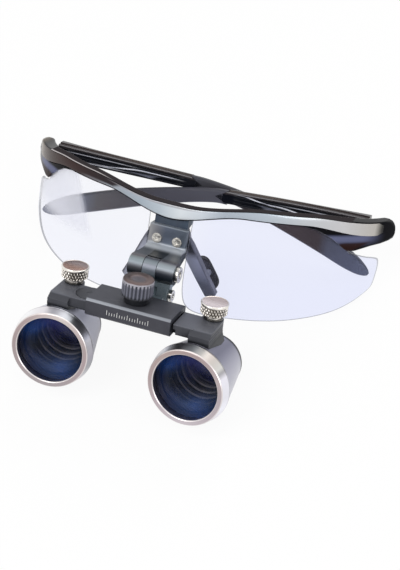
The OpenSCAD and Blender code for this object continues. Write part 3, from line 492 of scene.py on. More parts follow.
class Finish(Nodes):
    """A material with one Principled shader, and one method that adds every other node.

    A colour is given as it is seen, 0 to 255, or as four linear values."""

    def __init__(self, name, colour, roughness, metallic=0.0, shine=0.5, **constants):
        self.material = bpy.data.materials.new(name)
        self.material.use_nodes = True
        super().__init__(self.material.node_tree)
        self.shader = self.tree.nodes["Principled BSDF"]
        self.material.diffuse_color = linear(colour)
        self.set(
            Base_Color=linear(colour), Roughness=roughness, Metallic=metallic,
            Specular_IOR_Level=shine, **constants)

    def set(self, **sockets):
        for name, value in sockets.items():
            self.feed(self.shader.inputs[name.replace("_", " ")], value)

    def mix(self, share, a, b):
        return self.node(
            "ShaderNodeMix", {"data_type": "RGBA"}, {0: share, 6: linear(a), 7: linear(b)}, out=2)

    def mix_shader(self, share, other):
        """The Principled shader, or the other one, by a share that may vary."""
        both = self.node("ShaderNodeMixShader", sockets={
            0: share, 1: Wire(self, self.shader.outputs[0]), 2: other})
        self.feed(self.tree.nodes["Material Output"].inputs["Surface"], both)

    def along(self, value, *stops):
        """Colours that follow a value, from stops of (value, red, green, blue)."""
        low, high = stops[0][0], stops[-1][0]
        ramp = [((at - low) / (high - low), tone(*rgb)) for at, *rgb in stops]
        return self.node("ShaderNodeValToRGB", {"stops": ramp}, {0: (value - low) / (high - low)})

    def around(self, angle, first, *stops):
        """Colours that follow an angle from 0 to 360 degrees, and close on the first."""
        return self.along(angle, first, *stops, (360, *first[1:]))

    def round_axis(self, place):
        """Radius, height along the axis and angle in degrees, 0 to 360, round a place's own z."""
        x, y, z = self.axes(place)
        return self.length(x, y), z, self.math("ARCTAN2", y * -1, x * -1) * DEGREES + 180

    def length(self, a, b):
        return self.math("SQRT", a * a + b * b)

    def local(self, place=None, scale=(1, 1, 1)):
        """Object coordinates as millimetres in a place's own frame."""
        at = self.node("ShaderNodeTexCoord", out="Object")
        m = np.eye(4) if place is None else place
        angles = Matrix(m[:3, :3].tolist()).to_euler()
        size = [MM / s for s in scale]
        return self.node(
            "ShaderNodeMapping", {"vector_type": "TEXTURE"},
            {"Vector": at, "Location": m[:3, 3] * MM, "Rotation": angles, "Scale": size})

    def split(self, vector):
        n = self.node("ShaderNodeSeparateXYZ", sockets={0: vector}).socket.node
        return [Wire(self, o) for o in n.outputs]

    def axes(self, place=None):
        return self.split(self.local(place))

    def surface(self):
        """The piece's own UV map as two wires."""
        return self.split(self.node("ShaderNodeUVMap", {"uv_map": UV_MAP}))[:2]

    def noise(self, scale, detail=3.0, place=None, stretch=(1, 1, 1)):
        """Noise with a scale for each millimetre, before it is stretched."""
        return self.node("ShaderNodeTexNoise", sockets={
            "Vector": self.local(place, stretch), "Scale": scale, "Detail": detail})

    def made(self, colour, roughness, height=None, strength=0.1, distance=0.02):
        """The finished material, with a bump of so many millimetres where a height is given."""
        self.set(Base_Color=colour, Roughness=roughness)
        if height is not None:
            self.set(Normal=self.node("ShaderNodeBump", sockets={
                "Height": height, "Strength": strength, "Distance": distance * MM}))
        return self.material


def anodised(name, colour, other, roughness=0.36, grain=9.0, shine=0.3):
    """Fine bead-blasted anodising: a grain in the bump, faint clouds in colour and gloss."""
    f = Finish(name, colour, roughness, shine=shine)
    clouds, fine = f.noise(0.16, 4.0), f.noise(grain, 2.0)
    return f.made(
        f.mix(clouds.rise(0.35, 0.7), colour, other), fine * 0.12 + (roughness - 0.06), fine, 0.22)


def bright_steel(name, colour=(196, 190, 180), roughness=0.22):
    f = Finish(name, colour, roughness, 1.0)
    scratches = f.noise(2.0, 4.0, stretch=(0.4, 5, 0.4))
    return f.made(
        f.mix(scratches.rise(0.35, 0.75), colour, (140, 135, 130)),
        scratches * 0.2 + (roughness - 0.1), scratches, 0.1)


def soft_rubber(name, colour, other, roughness=0.55, grain=14.0):
    f = Finish(name, colour, roughness, shine=0.25)
    fine, broad = f.noise(grain, 2.0), f.noise(0.5)
    return f.made(
        f.mix(broad.rise(0.35, 0.7), colour, other), broad * 0.14 + (roughness - 0.07), fine, 0.2)


# Settings that a user would change
COLOUR = {"subtype": "COLOR", "size": 4, "min": 0, "max": 1}


class LoupeColours(bpy.types.PropertyGroup):
    """Base colours of the main finishes."""

    barrel: bpy.props.FloatVectorProperty(
        name="Barrel", description="Anodising of the tapered barrels",
        default=tone(132, 132, 152), **COLOUR)
    mouth_ring: bpy.props.FloatVectorProperty(
        name="Mouth ring", description="Turned face round each front lens",
        default=tone(190, 170, 164), **COLOUR)
    bar: bpy.props.FloatVectorProperty(
        name="Bar and blocks", description="Black anodising of the machined parts",
        default=tone(66, 66, 73), **COLOUR)
    hinge: bpy.props.FloatVectorProperty(
        name="Hinge", description="Satin finish of the flip hinge",
        default=tone(56, 66, 72), **COLOUR)
    coating: bpy.props.FloatVectorProperty(
        name="Lens coating", description="Reflection colour of the front lenses",
        default=tone(16, 34, 112), **COLOUR)
    tips: bpy.props.FloatVectorProperty(
        name="Temple tips", description="Rubber of the temple tips",
        default=tone(84, 86, 97), **COLOUR)


class LoupeSizes(bpy.types.PropertyGroup):
    """Small sizes of the finish, in millimetres, and counts."""

    broken_edge: bpy.props.FloatProperty(
        name="Broken edge", description="Width of the small chamfer on machined edges, in mm",
        default=0.22, min=0.05, max=0.6)
    knurl_depth: bpy.props.FloatProperty(
        name="Knurl depth", description="Depth of the diamonds on the thumbscrews, in mm",
        default=0.5, min=0.1, max=0.8)
    knurl_count: bpy.props.IntProperty(
        name="Knurls", description="Diamonds round a thumbscrew", default=26, min=16, max=60)
    knob_ribs: bpy.props.IntProperty(
        name="Knob ribs", description="Ribs round the centre knob", default=24, min=8, max=40)
    tick_gap: bpy.props.FloatProperty(
        name="Tick spacing", description="Distance between the scale ticks on the bar, in mm",
        default=1.0, min=0.5, max=2)


def colours():
    return bpy.context.scene.loupe_colours


def sizes():
    return bpy.context.scene.loupe_sizes


# Barrels
def barrel_finish(sx):
    """Satin anodising whose tone follows the light round the barrel."""
    f = Finish(f"barrel_satin_{sx}", colours().barrel, 0.36, 0.5, shine=0.3)
    at = barrel_place(sx)
    _, z, angle = f.round_axis(at)
    if sx > 0:
        base = f.around(
            angle, (0, 208, 208, 216), (20, 178, 180, 186), (36, 234, 233, 241),
            (60, 150, 150, 164), (130, 92, 93, 106), (230, 104, 105, 118), (262, 126, 125, 138),
            (285, 150, 149, 163), (302, 124, 123, 137), (330, 170, 169, 184))
    else:
        base = f.around(
            angle, (0, 128, 126, 136), (15, 104, 103, 112), (36, 150, 150, 160), (120, 96, 97, 108),
            (205, 150, 150, 160), (228, 232, 232, 238), (262, 196, 198, 212), (300, 190, 192, 208),
            (330, 170, 171, 187), (345, 152, 152, 168))
    tint = f.mix(0.2, base, tuple(colours().barrel))
    brushed = f.noise(2.2, 3.0, at, (1, 1, 8))
    return f.made(
        f.mix(z.rise(25.6, 27.2) * 0.6, tint, (60, 60, 70)), brushed * 0.14 + 0.29, brushed, 0.08)


def mouth_finish(sx):
    """Pinkish turned face with painted highlights on its rims, and a flank whose painted
    reflections band it from grey to white.
    """
    f = Finish(f"mouth_ring_{sx}", colours().mouth_ring, 0.28, 1.0)
    at = barrel_place(sx)
    radius, z, angle = f.round_axis(at)
    # The tones of face and flank follow the light round the ring: painted light and reflections.
    if sx > 0:
        face = f.around(
            angle, (0, 182, 170, 174), (45, 188, 178, 184), (90, 203, 194, 200),
            (135, 186, 174, 179), (180, 175, 159, 159), (225, 177, 160, 156), (285, 170, 152, 151),
            (330, 186, 172, 173))
        flank = f.around(
            angle, (0, 230, 229, 237), (18, 243, 243, 252), (40, 226, 222, 230),
            (70, 190, 180, 186), (180, 190, 178, 178), (228, 205, 206, 211), (243, 176, 175, 182),
            (254, 90, 89, 94), (272, 96, 99, 103), (286, 126, 124, 122), (300, 202, 193, 187),
            (318, 217, 216, 212), (324, 170, 168, 172), (332, 236, 234, 243))
    else:
        face = f.around(
            angle, (0, 175, 158, 160), (90, 168, 160, 163), (180, 169, 155, 155),
            (225, 177, 160, 159), (255, 199, 186, 184), (285, 212, 203, 199), (315, 199, 185, 182),
            (345, 175, 161, 161))
        flank = f.around(
            angle, (0, 164, 161, 171), (15, 151, 152, 157), (45, 212, 208, 213),
            (90, 170, 162, 166), (180, 200, 192, 192), (210, 242, 242, 242), (228, 246, 246, 247),
            (255, 228, 224, 228), (268, 165, 164, 171), (285, 160, 161, 166), (300, 144, 147, 152),
            (318, 182, 182, 191), (333, 210, 209, 215))
    # Painted highlights on the inner and outer rims of the face.
    rims = (radius < 13.0).most(radius > 14.36)
    face = f.mix(rims * 0.55, face, (246, 242, 240))
    lip = abs(z - 4.6).fall(0.1, 0.35)
    flank = f.mix(lip * 0.5, flank, (60, 60, 66))
    grain = f.noise(4.0, 3.0, at)
    rings = (radius * 34.0).sine() * 0.5 + 0.5
    return f.made(
        f.mix(z.rise(0.28, 0.5), face, flank), grain * 0.12 + 0.24, rings * 0.6 + grain * 0.4, 0.1,
        0.015)


def coating_finish(sx):
    """Blue anti-reflection coating: a see-through veil of painted reflections, bluest low down and
    along one side.
    """
    f = Finish(f"coated_glass_{sx}", colours().coating, 0.03, shine=0.12)
    at = barrel_place(sx)
    x, y, _ = f.axes(at)
    radius, _, angle = f.round_axis(at)
    # Painted reflections of the coating round the lens.
    base = f.around(
        angle, (0, 20, 30, 48), (35, 48, 66, 104), (65, 58, 82, 136), (90, 60, 78, 118),
        (125, 50, 62, 96), (155, 34, 42, 68), (180, 26, 38, 70), (205, 30, 62, 120),
        (235, 26, 52, 112), (270, 44, 48, 112), (300, 56, 60, 104), (335, 24, 28, 58))
    swirl = f.noise(0.12, 1.0, at)
    # Painted pattern of light and shade from the ribs seen through the lens, on the lit side.
    painted_rib_arcs = (f.length(x - 14, y + 10) * 4.6).sine() * 0.5 + 0.5
    low = angle.band(20, 60, 140, 175)
    base = f.mix(painted_rib_arcs * low * radius.rise(7.0, 10.0) * 0.35, base, (24, 34, 60))
    # Painted shade of the barrel's inside, seen through the lens, in a spot to one side and in the
    # middle.
    hollow = (f.length(x + 7, y + 0.5) + swirl * 3).fall(3.0, 7.0)
    base = f.mix(hollow * 0.75, base, (14, 18, 26))
    painted_core_shade = f.length(x, y + 1.5).fall(5.0, 9.5)
    base = f.mix(painted_core_shade * 0.6, base, (14, 16, 26))
    # How strongly the painted reflection shows: more toward the rim, less over the painted shade.
    veil = (radius.rise(2.5, 9.5) * 0.5 + hollow * 0.3 + 0.16) * (1 - painted_core_shade * 0.45)
    # The painted reflection thins out on one side near the rim.
    clear = angle.rise(285, 320).most(angle.fall(12, 50)) * radius.fall(10.0, 13.0)
    f.set(Base_Color=base, Alpha=veil * (1 - clear * 0.55) + 0.08)
    return f.material


def rear_glass_finish():
    f = Finish("rear_coated_glass", (20, 18, 60), 0.04, shine=0.2, Alpha=0.85)
    f.set(Base_Color=f.mix(f.noise(0.12, 2.0).rise(0.3, 0.7), (12, 11, 36), (34, 27, 80)))
    return f.material


def baffle_finish(sx):
    """Dead black flanks, with painted highlights on the edges where each rib ends, on the lit side,
    fading down the barrel.
    """
    f = Finish(f"baffle_black_{sx}", (9, 10, 16), 0.6, shine=0.1)
    radius, z, angle = f.round_axis(barrel_place(sx))
    tip = (radius + (z - 9.68) * 0.205 - 11.8).fall(0.08, 0.42)
    every_other = f.math("FRACT", (z - SLEEVE_LOW) / (2 * RIB_PITCH) + 0.25) > 0.5
    lit = angle.band(40, 80, 200, 250)
    share = tip * (every_other * 0.85 + 0.15) * (lit * 0.9 + 0.1) * (z.rise(9.0, 14.0) * 0.4 + 0.6)
    return f.made(f.mix(share, (7, 8, 12), (240, 234, 242)), share * -0.2 + 0.6)


def lens_part(r_edge, front, back, s_front, s_back):
    """A lens between two spheres: at r each face lies sqrt(R^2 - r^2) - sqrt(R^2 - r_edge^2)
    outside its edge, R being its sphere's radius."""
    r = np.linspace(0, r_edge, 14)
    bulge = [np.sqrt(k * k - r * r) - math.sqrt(k * k - r_edge * r_edge) for k in (front, back)]
    near, far = np.column_stack([r, s_front - bulge[0]]), np.column_stack([r, s_back + bulge[1]])
    return lathe(np.vstack([near, far[::-1]]), 96)


def sleeve_part():
    """The baffle: a cone whose wall is cut into sharp steps that point to its axis."""
    ribs = [(13.36, SLEEVE_LOW)]
    taper = (SLEEVE_R[1] - SLEEVE_R[0]) / (SLEEVE_HIGH - SLEEVE_LOW)
    for i in range(RIBS):
        s = SLEEVE_LOW + RIB_PITCH * i
        tip = 11.8 - 3.1 * i / (RIBS - 1)
        ribs += [(SLEEVE_R[0] + taper * (s - SLEEVE_LOW) - 0.45, s + 0.1), (tip, s + 1.43),
                 (tip, s + RIB_PITCH)]
    return turned(ribs + [(9.56, SLEEVE_HIGH)], 0.05, 96, 2)


class LOUPE_OT_barrels(bpy.types.Operator):
    """Both barrels: mouth rings, seals, shells, eye rings, lenses and baffles"""

    bl_idname = "loupe.barrels"
    bl_label = "Barrels"

    def execute(self, context):
        seal = soft_rubber("seal_black", (14, 14, 16), (24, 24, 28), 0.5)
        eye_black = anodised("eye_ring_black", (28, 29, 33), (40, 41, 46), 0.4)
        rear_glass = rear_glass_finish()
        mouth = turned([
            (12.6, 0.3), (12.9, 0), (14.42, 0), (14.7, 0.32), (15.38, 4.1), (15.5, 4.35),
            (15.5, 4.95), (15.32, 5.2), (13.9, 5.2), (13.9, 8.0), (13.42, 8.0), (13.42, 2.0),
            (12.6, 2.0)], 0.09, 192)
        ring = turned(oblong(13.92, 15.1, 5.22, 5.58), 0.06)
        shell = turned([
            (13.9, 5.6), (15.2, 5.6), (REAR_R, 27.3), (8.7, 27.3), (8.7, 25.6), (8.0, 25.6),
            (8.0, SLEEVE_HIGH), (SLEEVE_R[1], SLEEVE_HIGH), (SLEEVE_R[0], SLEEVE_LOW),
            (13.9, SLEEVE_LOW)], 0.16, 160)
        rear = turned([
            (7.5, 27.3), (10.3, 27.3), (10.3, 28.2), (10.0, BARREL_LEN), (8.1, BARREL_LEN),
            (7.5, 28.0)], 0.1)
        front_lens = lens_part(13.4, 42, 60, 4.495, 6.495)
        rear_lens = lens_part(8.68, 30, 30, 25.87, 26.62)
        sleeve = sleeve_part()
        for side, sx in SIDES:
            for name, part, finish, node, angle in (
                    ("mouth_ring", mouth, mouth_finish(sx), "bezel", SMOOTH),
                    ("seal_ring", ring, seal, "seal", SMOOTH),
                    ("tapered_shell", shell, barrel_finish(sx), "barrel_shell", SMOOTH),
                    ("eye_rim", rear, eye_black, "eye_ring", SMOOTH),
                    ("front_lens", front_lens, coating_finish(sx), "objective", 40),
                    ("rear_lens", rear_lens, rear_glass, "eye_lens", 40),
                    ("ribbed_sleeve", sleeve, baffle_finish(sx), "baffle", 30)):
                build(f"{name}_{side}", [part], barrel_place(sx), finish, f"{node}_{side}", angle)
        return {"FINISHED"}


# Thumbscrews and centre knob
KNURL_PITCH, KNURL_LOW, KNURL_HIGH = 2.2, 2.5, 5.6
KNOB = LOUPE @ shift(0, BAR_MID_Y, 0)


def thumb_place(sx):
    return LOUPE @ shift(sx * BLOCK_X, SCREW_Y, 0)


def triangle(t):
    """Triangle wave: 1 at each whole number and 0 half way between."""
    return 2 * np.abs(t % 1 - 0.5)


def knurl(depth, count, pitch, low, high):
    """Diamonds: r - depth (1 - min(tri(p + q), tri(p - q))), p round the axis and q along it."""
    def radius(a, r, s):
        p, q = count * a / (2 * np.pi), (s - low) / pitch
        diamond = np.minimum(triangle(p + q), triangle(p - q))
        inside = ease((s - low) / 0.2) * ease((high - s) / 0.2)
        return r - depth * (1 - np.minimum(1, 1.6 * diamond)) * inside
    return radius


def thumb_finish(sx):
    """Silver knurl with painted shade, under a brushed top with a painted reflection: coppery on
    one side of the loupe, pale on the other.
    """
    f = Finish(f"thumbscrew_silver_{sx}", (206, 198, 188), 0.25, 1.0)
    at = thumb_place(sx)
    x, y, z = f.axes(at)
    radius, _, angle = f.round_axis(at)
    low, high = LEVEL_HIGH + KNURL_LOW, LEVEL_HIGH + KNURL_HIGH
    p, q = angle * (sizes().knurl_count / 360), (z - low) / KNURL_PITCH
    wave = [abs(f.math("FRACT", d + 40) - 0.5) * 2 for d in (p + q, p - q)]
    mark = wave[0].rise(0.15, 0.6).least(wave[1].rise(0.0, 0.3))
    side = z.band(low - 0.1, low + 0.1, high - 0.1, high)
    brushed = f.noise(1.6, 4.0, at, (0.25, 6, 1))
    top = (z > LEVEL_HIGH + 6.25) * (radius < 4.7)
    # Colours of the top's painted reflection, and of the painted shade in the knurl's grooves.
    if sx < 0:
        dark, warm, pit_shade = (160, 144, 142), (178, 142, 126), (84, 77, 73)
    else:
        dark, warm, pit_shade = (196, 180, 172), (234, 220, 212), (140, 134, 128)
    # Painted shade in the knurl's grooves between the diamonds.
    silver = f.mix(side * (1 - mark), (232, 227, 220), pit_shade)
    shade = ((x * 0.9 - y * 0.4) / 5).rise(0.1, 0.9)
    silver = f.mix(side * shade * 0.5, silver, (96, 90, 86))
    # Near black below the knurled head.
    silver = f.mix((z < LEVEL_HIGH + 1.0) * 0.85, silver, (26, 26, 28))
    # Painted reflection across the top, darker to one side.
    top_reflection = f.mix((y / -5).rise(-0.5, 0.5), dark, warm)
    return f.made(f.mix(top, silver, top_reflection), brushed * 0.2 + 0.16, brushed, 0.12)


def knob_finish():
    """Charcoal anodising with painted shade and highlights, its dished top a brownish grey painted
    with light.
    """
    f = Finish("knob_charcoal", (70, 72, 80), 0.38, 0.2, shine=0.3)
    x, y, z = f.axes(KNOB)
    radius = f.length(x, y)
    grain = f.noise(3.0, 3.0, KNOB)
    # Painted light across the top: darker to one side, lighter in the middle.
    ring = f.mix(((x - y) / 5).rise(-0.7, 0.8), (62, 50, 50), (104, 88, 86))
    top = f.mix(radius.fall(2.4, 3.6), ring, (118, 102, 100))
    # Painted shade in the grooves between the ribs and toward the foot, and a painted highlight
    # high on the ribs.
    side = f.mix(((radius - 5.3) / 0.5).rise(0.0, 1.0), (72, 74, 84), (110, 111, 124))
    side = f.mix(z.rise(28.6, 29.6) * (radius > 5.5) * 0.8, side, (176, 174, 182))
    side = f.mix(z.fall(24.2, 25.6), side, (34, 35, 40))
    return f.made(f.mix(z.rise(30.2, 30.7), side, top), grain * 0.16 + 0.32, grain, 0.15)


class LOUPE_OT_knobs(bpy.types.Operator):
    """Knurled thumbscrews and the ribbed centre knob"""

    bl_idname = "loupe.knobs"
    bl_label = "Thumbscrews and knob"

    def execute(self, context):
        s = sizes()
        screw = [
            (0, -6.9), (1.25, -6.9), (1.45, -6.6), (1.45, 0.06), (3.6, 0.06), (3.6, 0.9),
            (3.1, 0.95), (3.1, 1.5), (4.55, 2.35), (4.98, KNURL_LOW)]
        screw += [(4.98, k) for k in np.linspace(KNURL_LOW + 0.12, KNURL_HIGH - 0.05, 22)]
        screw += [
            (4.98, KNURL_HIGH), (5.16, 5.7), (5.2, 6.35), (5.0, 6.6), (4.76, 6.6), (4.62, 6.5),
            (2.5, 6.46), (0, 6.45)]
        diamonds = knurl(
            s.knurl_depth, s.knurl_count, KNURL_PITCH, LEVEL_HIGH + KNURL_LOW,
            LEVEL_HIGH + KNURL_HIGH)
        thumb = solid_turned(np.array(screw) + (0, LEVEL_HIGH), 0.1, 256, 2, diamonds)
        for side, sx in SIDES:
            build(
                f"thumb_knob_{side}", [thumb], thumb_place(sx), thumb_finish(sx),
                f"thumbscrew_{side}", 38)

        def ribbed(a, r, h):
            """Ribs: r - d (0.5 + 0.5 cos(n a)) between the knob's foot and its rim."""
            inside = ease((h - 24.1) / 0.5) * ease((30.0 - h) / 0.35) * (r > 5)
            return r - 0.55 * (0.5 + 0.5 * np.cos(s.knob_ribs * a)) ** 1.4 * inside

        knob = [
            (0, 19.42), (2.0, 19.42), (2.0, 21.62), (4.6, 21.62), (4.6, 23.9), (5.4, 24.0),
            (5.8, 24.35)]
        knob += [(5.8, k) for k in np.linspace(24.7, 29.7, 14)]
        knob += [
            (5.78, 30.2), (5.55, 30.7), (5.0, 31.0), (3.9, 30.96), (3.3, 30.72), (2.5, 30.42),
            (0, 30.34)]
        build(
            "ribbed_knob", [solid_turned(knob, 0.18, 288, 2, ribbed)], KNOB, knob_finish(),
            "centre_knob", 45)
        return {"FINISHED"}


# Bar, blocks and hinge
def bar_finish(name, front, top, under, low, high, line=0.0):
    """Satin anodising on a part of the bar, in three tones of painted light: lighter on top, darker
    below than in front.

    line is the strength of a painted highlight along the top front edge, over an end painted darker
    with shade."""
    f = Finish(name, front, 0.4, 0.25, shine=0.2)
    x, y, z = f.axes(LOUPE)
    fine, clouds = f.noise(3.2, 2.0), f.noise(0.2)
    base = f.mix(z.rise(low, low + 0.8), under, front)
    base = f.mix(z.rise(high - 0.5, high - 0.1), base, top)
    if line:
        # Painted highlight along the top front edge, and painted shade on the end past BAR_END.
        edge = z.rise(high - 0.95, high - 0.7) * y.fall(BAR_FRONT + 0.6, BAR_FRONT + 1.1) * line
        base = f.mix(edge, base, (148, 152, 160))
        base = f.mix((x > BAR_END) * 0.8, base, (44, 46, 52))
    return f.made(
        f.mix(clouds.rise(0.35, 0.75) * 0.18, base, (88, 91, 98)), fine * 0.12 + 0.34, fine, 0.22)


def round_pin(f):
    """x and z in the mount's frame, the distance from the flip pin, and the angle round it in
    degrees, 0 in front and 90 on top."""
    x, y, z = f.axes(MOUNT)
    out, up = (y - PIN_Y) * -1, z - PIN_Z
    return x, z, f.length(out, up), f.math("ARCTAN2", up, out) * DEGREES


def hinge_finish():
    """Satin steel with painted light: pale along the bend over the knuckles, shaded in the slot,
    and darker to one side of its face.
    """
    f = Finish("hinge_satin", tuple(colours().hinge), 0.42, 0.4, shine=0.2)
    x, z, reach, angle = round_pin(f)
    # Painted light and shade round the two outer knuckles, lit above the front and shaded below.
    one = f.along(
        angle, (-30, 26, 33, 41), (0, 68, 69, 74), (15, 101, 104, 111), (30, 133, 142, 149),
        (45, 140, 151, 157), (60, 118, 126, 129), (75, 98, 96, 99), (110, 96, 96, 102))
    other = f.along(
        angle, (-30, 25, 35, 44), (0, 50, 54, 63), (15, 86, 89, 96), (30, 144, 151, 159),
        (45, 148, 157, 164), (60, 124, 129, 135), (75, 80, 80, 88), (90, 62, 62, 68),
        (110, 62, 62, 68))
    # Painted light across the face, darker to one side.
    face = f.along(
        x, (-7.4, 150, 150, 153), (-4, 118, 120, 128), (-1, 92, 100, 116), (3, 88, 96, 110),
        (7.4, 84, 92, 104))
    # Painted shade in the slot over the middle knuckle.
    slope = f.mix(abs(x).rise(2.8, 3.2), (26, 32, 38), (76, 81, 88))
    base = f.mix(z.rise(-9.4, -9.0), slope, face)
    # Painted highlights along the bend and along the block's top edge.
    base = f.mix(abs(z + 8.5).fall(0.3, 1.3) * 0.9, base, (190, 196, 204))
    base = f.mix(z.rise(-1.35, -1.0) * 0.6, base, (160, 168, 178))
    # Painted shade on the wall of the slot round the middle knuckle.
    lug = f.mix(abs(x) < 2.83, f.mix(x > 0, one, other), (22, 28, 34))
    grain = f.noise(3.0, 2.0)
    return f.made(f.mix(reach.fall(4.05, 4.5), base, lug), grain * 0.12 + 0.38, grain, 0.2)


def link_finish():
    """Satin grey with painted light on the middle knuckle, and a paler teal arm below it, painted
    lighter against its shade.
    """
    f = Finish("link_teal", (74, 86, 92), 0.4, 0.3, shine=0.2)
    _, _, reach, angle = round_pin(f)
    # Painted light and shade round the knuckle, brightest above the front.
    knuckle = f.along(
        angle, (-40, 74, 84, 90), (-15, 113, 122, 131), (0, 107, 114, 124), (30, 132, 136, 147),
        (45, 134, 143, 150), (60, 109, 118, 125), (75, 65, 68, 77), (110, 60, 62, 70))
    grain = f.noise(3.0, 2.0)
    # The arm is painted lighter to make up for the shade it lies in.
    arm = f.mix(grain.rise(0.3, 0.7), (122, 136, 144), (142, 154, 162))
    return f.made(f.mix(reach.fall(4.05, 4.5), arm, knuckle), grain * 0.12 + 0.34, grain, 0.2)


class LOUPE_OT_bar(bpy.types.Operator):
    """Bar housing with its slides, end blocks, saddles, bracket and scale ticks"""

    bl_idname = "loupe.bar"
    bl_label = "Bar and blocks"

    def execute(self, context):
        housing = bar_finish(
            "bar_charcoal", tuple(colours().bar), (76, 77, 84), (38, 38, 43), BAR_LOW, BAR_HIGH,
            0.9)
        blocks = bar_finish(
            "block_charcoal", (68, 69, 75), (100, 102, 110), (36, 38, 42), LEVEL_LOW, LEVEL_HIGH)
        inner = bar_finish(
            "slide_charcoal", (48, 50, 55), (72, 74, 80), (32, 34, 38), LEVEL_LOW, LEVEL_HIGH)
        steel = bright_steel("small_steel")
        machined("bar_housing", housing, 1.1)
        # The bracket's teal is painted lighter to make up for the shade it lies in.
        machined(
            "bar_bracket", anodised("bracket_teal", (104, 118, 126), (122, 134, 142), 0.3, 3.0))
        for side, _ in SIDES:
            machined(f"slide_{side}", inner, 0.6)
            machined(f"block_{side}", blocks, 0.9)
            machined(f"saddle_{side}", blocks, 0.8)
            dress(f"swivel_pin_{side}", inner)
        for node, finish in (("bar_cover", inner), ("bracket_screws", steel), ("pinion", steel)):
            dress(node, finish)
        paint = Finish("tick_white", (226, 226, 224), 0.5)
        paint.set(Roughness=paint.noise(3.0) * 0.2 + 0.4)
        build(
            "scale_ticks", [self.tick(k) for k in range(-8, 9)], LOUPE, paint.material,
            "bar_housing", 30, weighted=False, stands_in=False)
        return {"FINISHED"}

    def tick(self, k):
        """One stroke of the plain scale on the bar's front; every fourth is longer."""
        x, low = k * sizes().tick_gap, 17.1
        outline = oblong(x - 0.09, x + 0.09, low, low + (1.15 if k % 4 else 1.9))
        v, f, uv = prism(outline, -0.03, 0.05, 0.02, 0.02, 2)
        return np.column_stack([v[:, 0], BAR_FRONT - v[:, 2], v[:, 1]]), f, uv


class LOUPE_OT_hinge(bpy.types.Operator):
    """Mount block, plate, flip link, pins and screws"""

    bl_idname = "loupe.hinge"
    bl_label = "Mount and flip hinge"

    def execute(self, context):
        pin = bright_steel("pin_steel", (214, 212, 208), 0.16)
        machined("mount_block", hinge_finish(), 1.2)
        machined("frame_plate", anodised("plate_slate", (61, 70, 84), (68, 80, 95), 0.4, 3.0, 0.15))
        machined("flip_link", link_finish())
        machined("flip_pin", pin, 0.8)
        machined("tilt_pin", pin, 0.8)
        machined("mount_screws", bright_steel("screw_steel", (206, 204, 199), 0.2), 0.5)
        return {"FINISHED"}


# Brow, fairings and trim
def trim_finish():
    """Dark plating with painted reflections along the brow, from dark brown to a pale blue grey."""
    f = Finish("brow_plating", (150, 160, 168), 0.22, 0.5, shine=0.1)
    x, w = f.surface()
    waves = f.noise(0.05, 2.0)
    # Painted brown and pale reflections along the brow.
    brown = f.along(
        x, (-72, 124, 112, 98), (-69, 96, 82, 70), (-66.5, 68, 52, 43), (-62, 52, 36, 30),
        (-46, 58, 42, 41), (-30, 50, 44, 46), (-20, 56, 52, 56), (0, 70, 66, 70))
    pale = f.along(
        x, (-44, 96, 92, 96), (-33, 122, 120, 126), (-25, 160, 166, 175), (-12, 166, 177, 188),
        (-4, 186, 196, 205), (4, 218, 224, 229), (12, 204, 211, 219), (20, 170, 179, 190),
        (34, 180, 189, 199), (48, 192, 196, 200), (60, 199, 198, 200), (69.5, 186, 182, 176),
        (71.2, 72, 70, 66), (71.8, 40, 40, 40))
    low = w.fall(0.16, 0.42)
    # Where the brown painted reflection gives way to the pale one.
    edge = (x + waves * 3 - w * 5).rise(-27.0, -23.5).most(low * x.rise(-43.0, -36.0) * 0.8)
    base = f.mix(edge, brown, pale)
    # A painted line of reflection high on the trim.
    reflection_streak = w.rise(0.78, 0.9) * x.band(-30.0, -20.0, 2.0, 18.0)
    base = f.mix(reflection_streak * 0.7, base, (150, 146, 150))
    return f.made(base, waves * 0.1 + 0.18, f.noise(0.8, 2.0), 0.04, 0.05)


def brow_finish():
    """Black plastic, its top painted lighter to a dark brown grey, with a pale line of light along
    each edge.
    """
    f = Finish("brow_gloss", (16, 16, 19), 0.2, shine=0.0)
    x, y, _ = f.axes(GLASSES)
    _, w = f.surface()
    waves = f.noise(0.3, 2.0)
    depth = WRAP_R - f.length(x, y - WRAP_R)
    base = f.mix(waves.rise(0.3, 0.7), (14, 14, 17), (26, 24, 28))
    base = f.mix(w.rise(0.96, 0.99), base, (58, 54, 56))
    far = depth.band(4.2, 4.5, 4.8, 5.0)
    near = depth.fall(0.5, 0.8) * x.fall(-34.0, -24.0)
    base = f.mix(w.rise(0.96, 0.99) * far.most(near) * 0.85, base, (206, 200, 200))
    return f.made(base, waves * 0.1 + 0.16, waves, 0.04, 0.1)


def fairing_finish():
    """Black plastic with painted reflections: lavender low on its outer part, brown in the hollow
    under the brow.
    """
    f = Finish("fairing_gloss", (18, 18, 22), 0.16, shine=0.03)
    x, _, z = f.axes(GLASSES)
    out = abs(x)
    cast = out.band(48.0, 58.0, 66.0, 73.0)
    hollow = (out - z * 1.6).band(57.0, 60.0, 66.0, 68.0)
    # Painted lavender reflection on the outer part, low down.
    base = f.mix(cast * z.band(-1.0, 2.5, 3.0, 4.6), (15, 15, 19), (98, 102, 132))
    # Painted olive brown reflection on the top of one end cap.
    base = f.mix(x.fall(-74.0, -68.0) * z.rise(4.5, 6.5) * 0.9, base, (126, 116, 102))
    # Painted brown reflection in the hollow under the brow.
    base = f.mix(hollow * z.fall(0.4, 1.6) * 0.9, base, (44, 26, 24))
    return f.made(base, f.noise(0.3, 2.0) * 0.1 + 0.12)


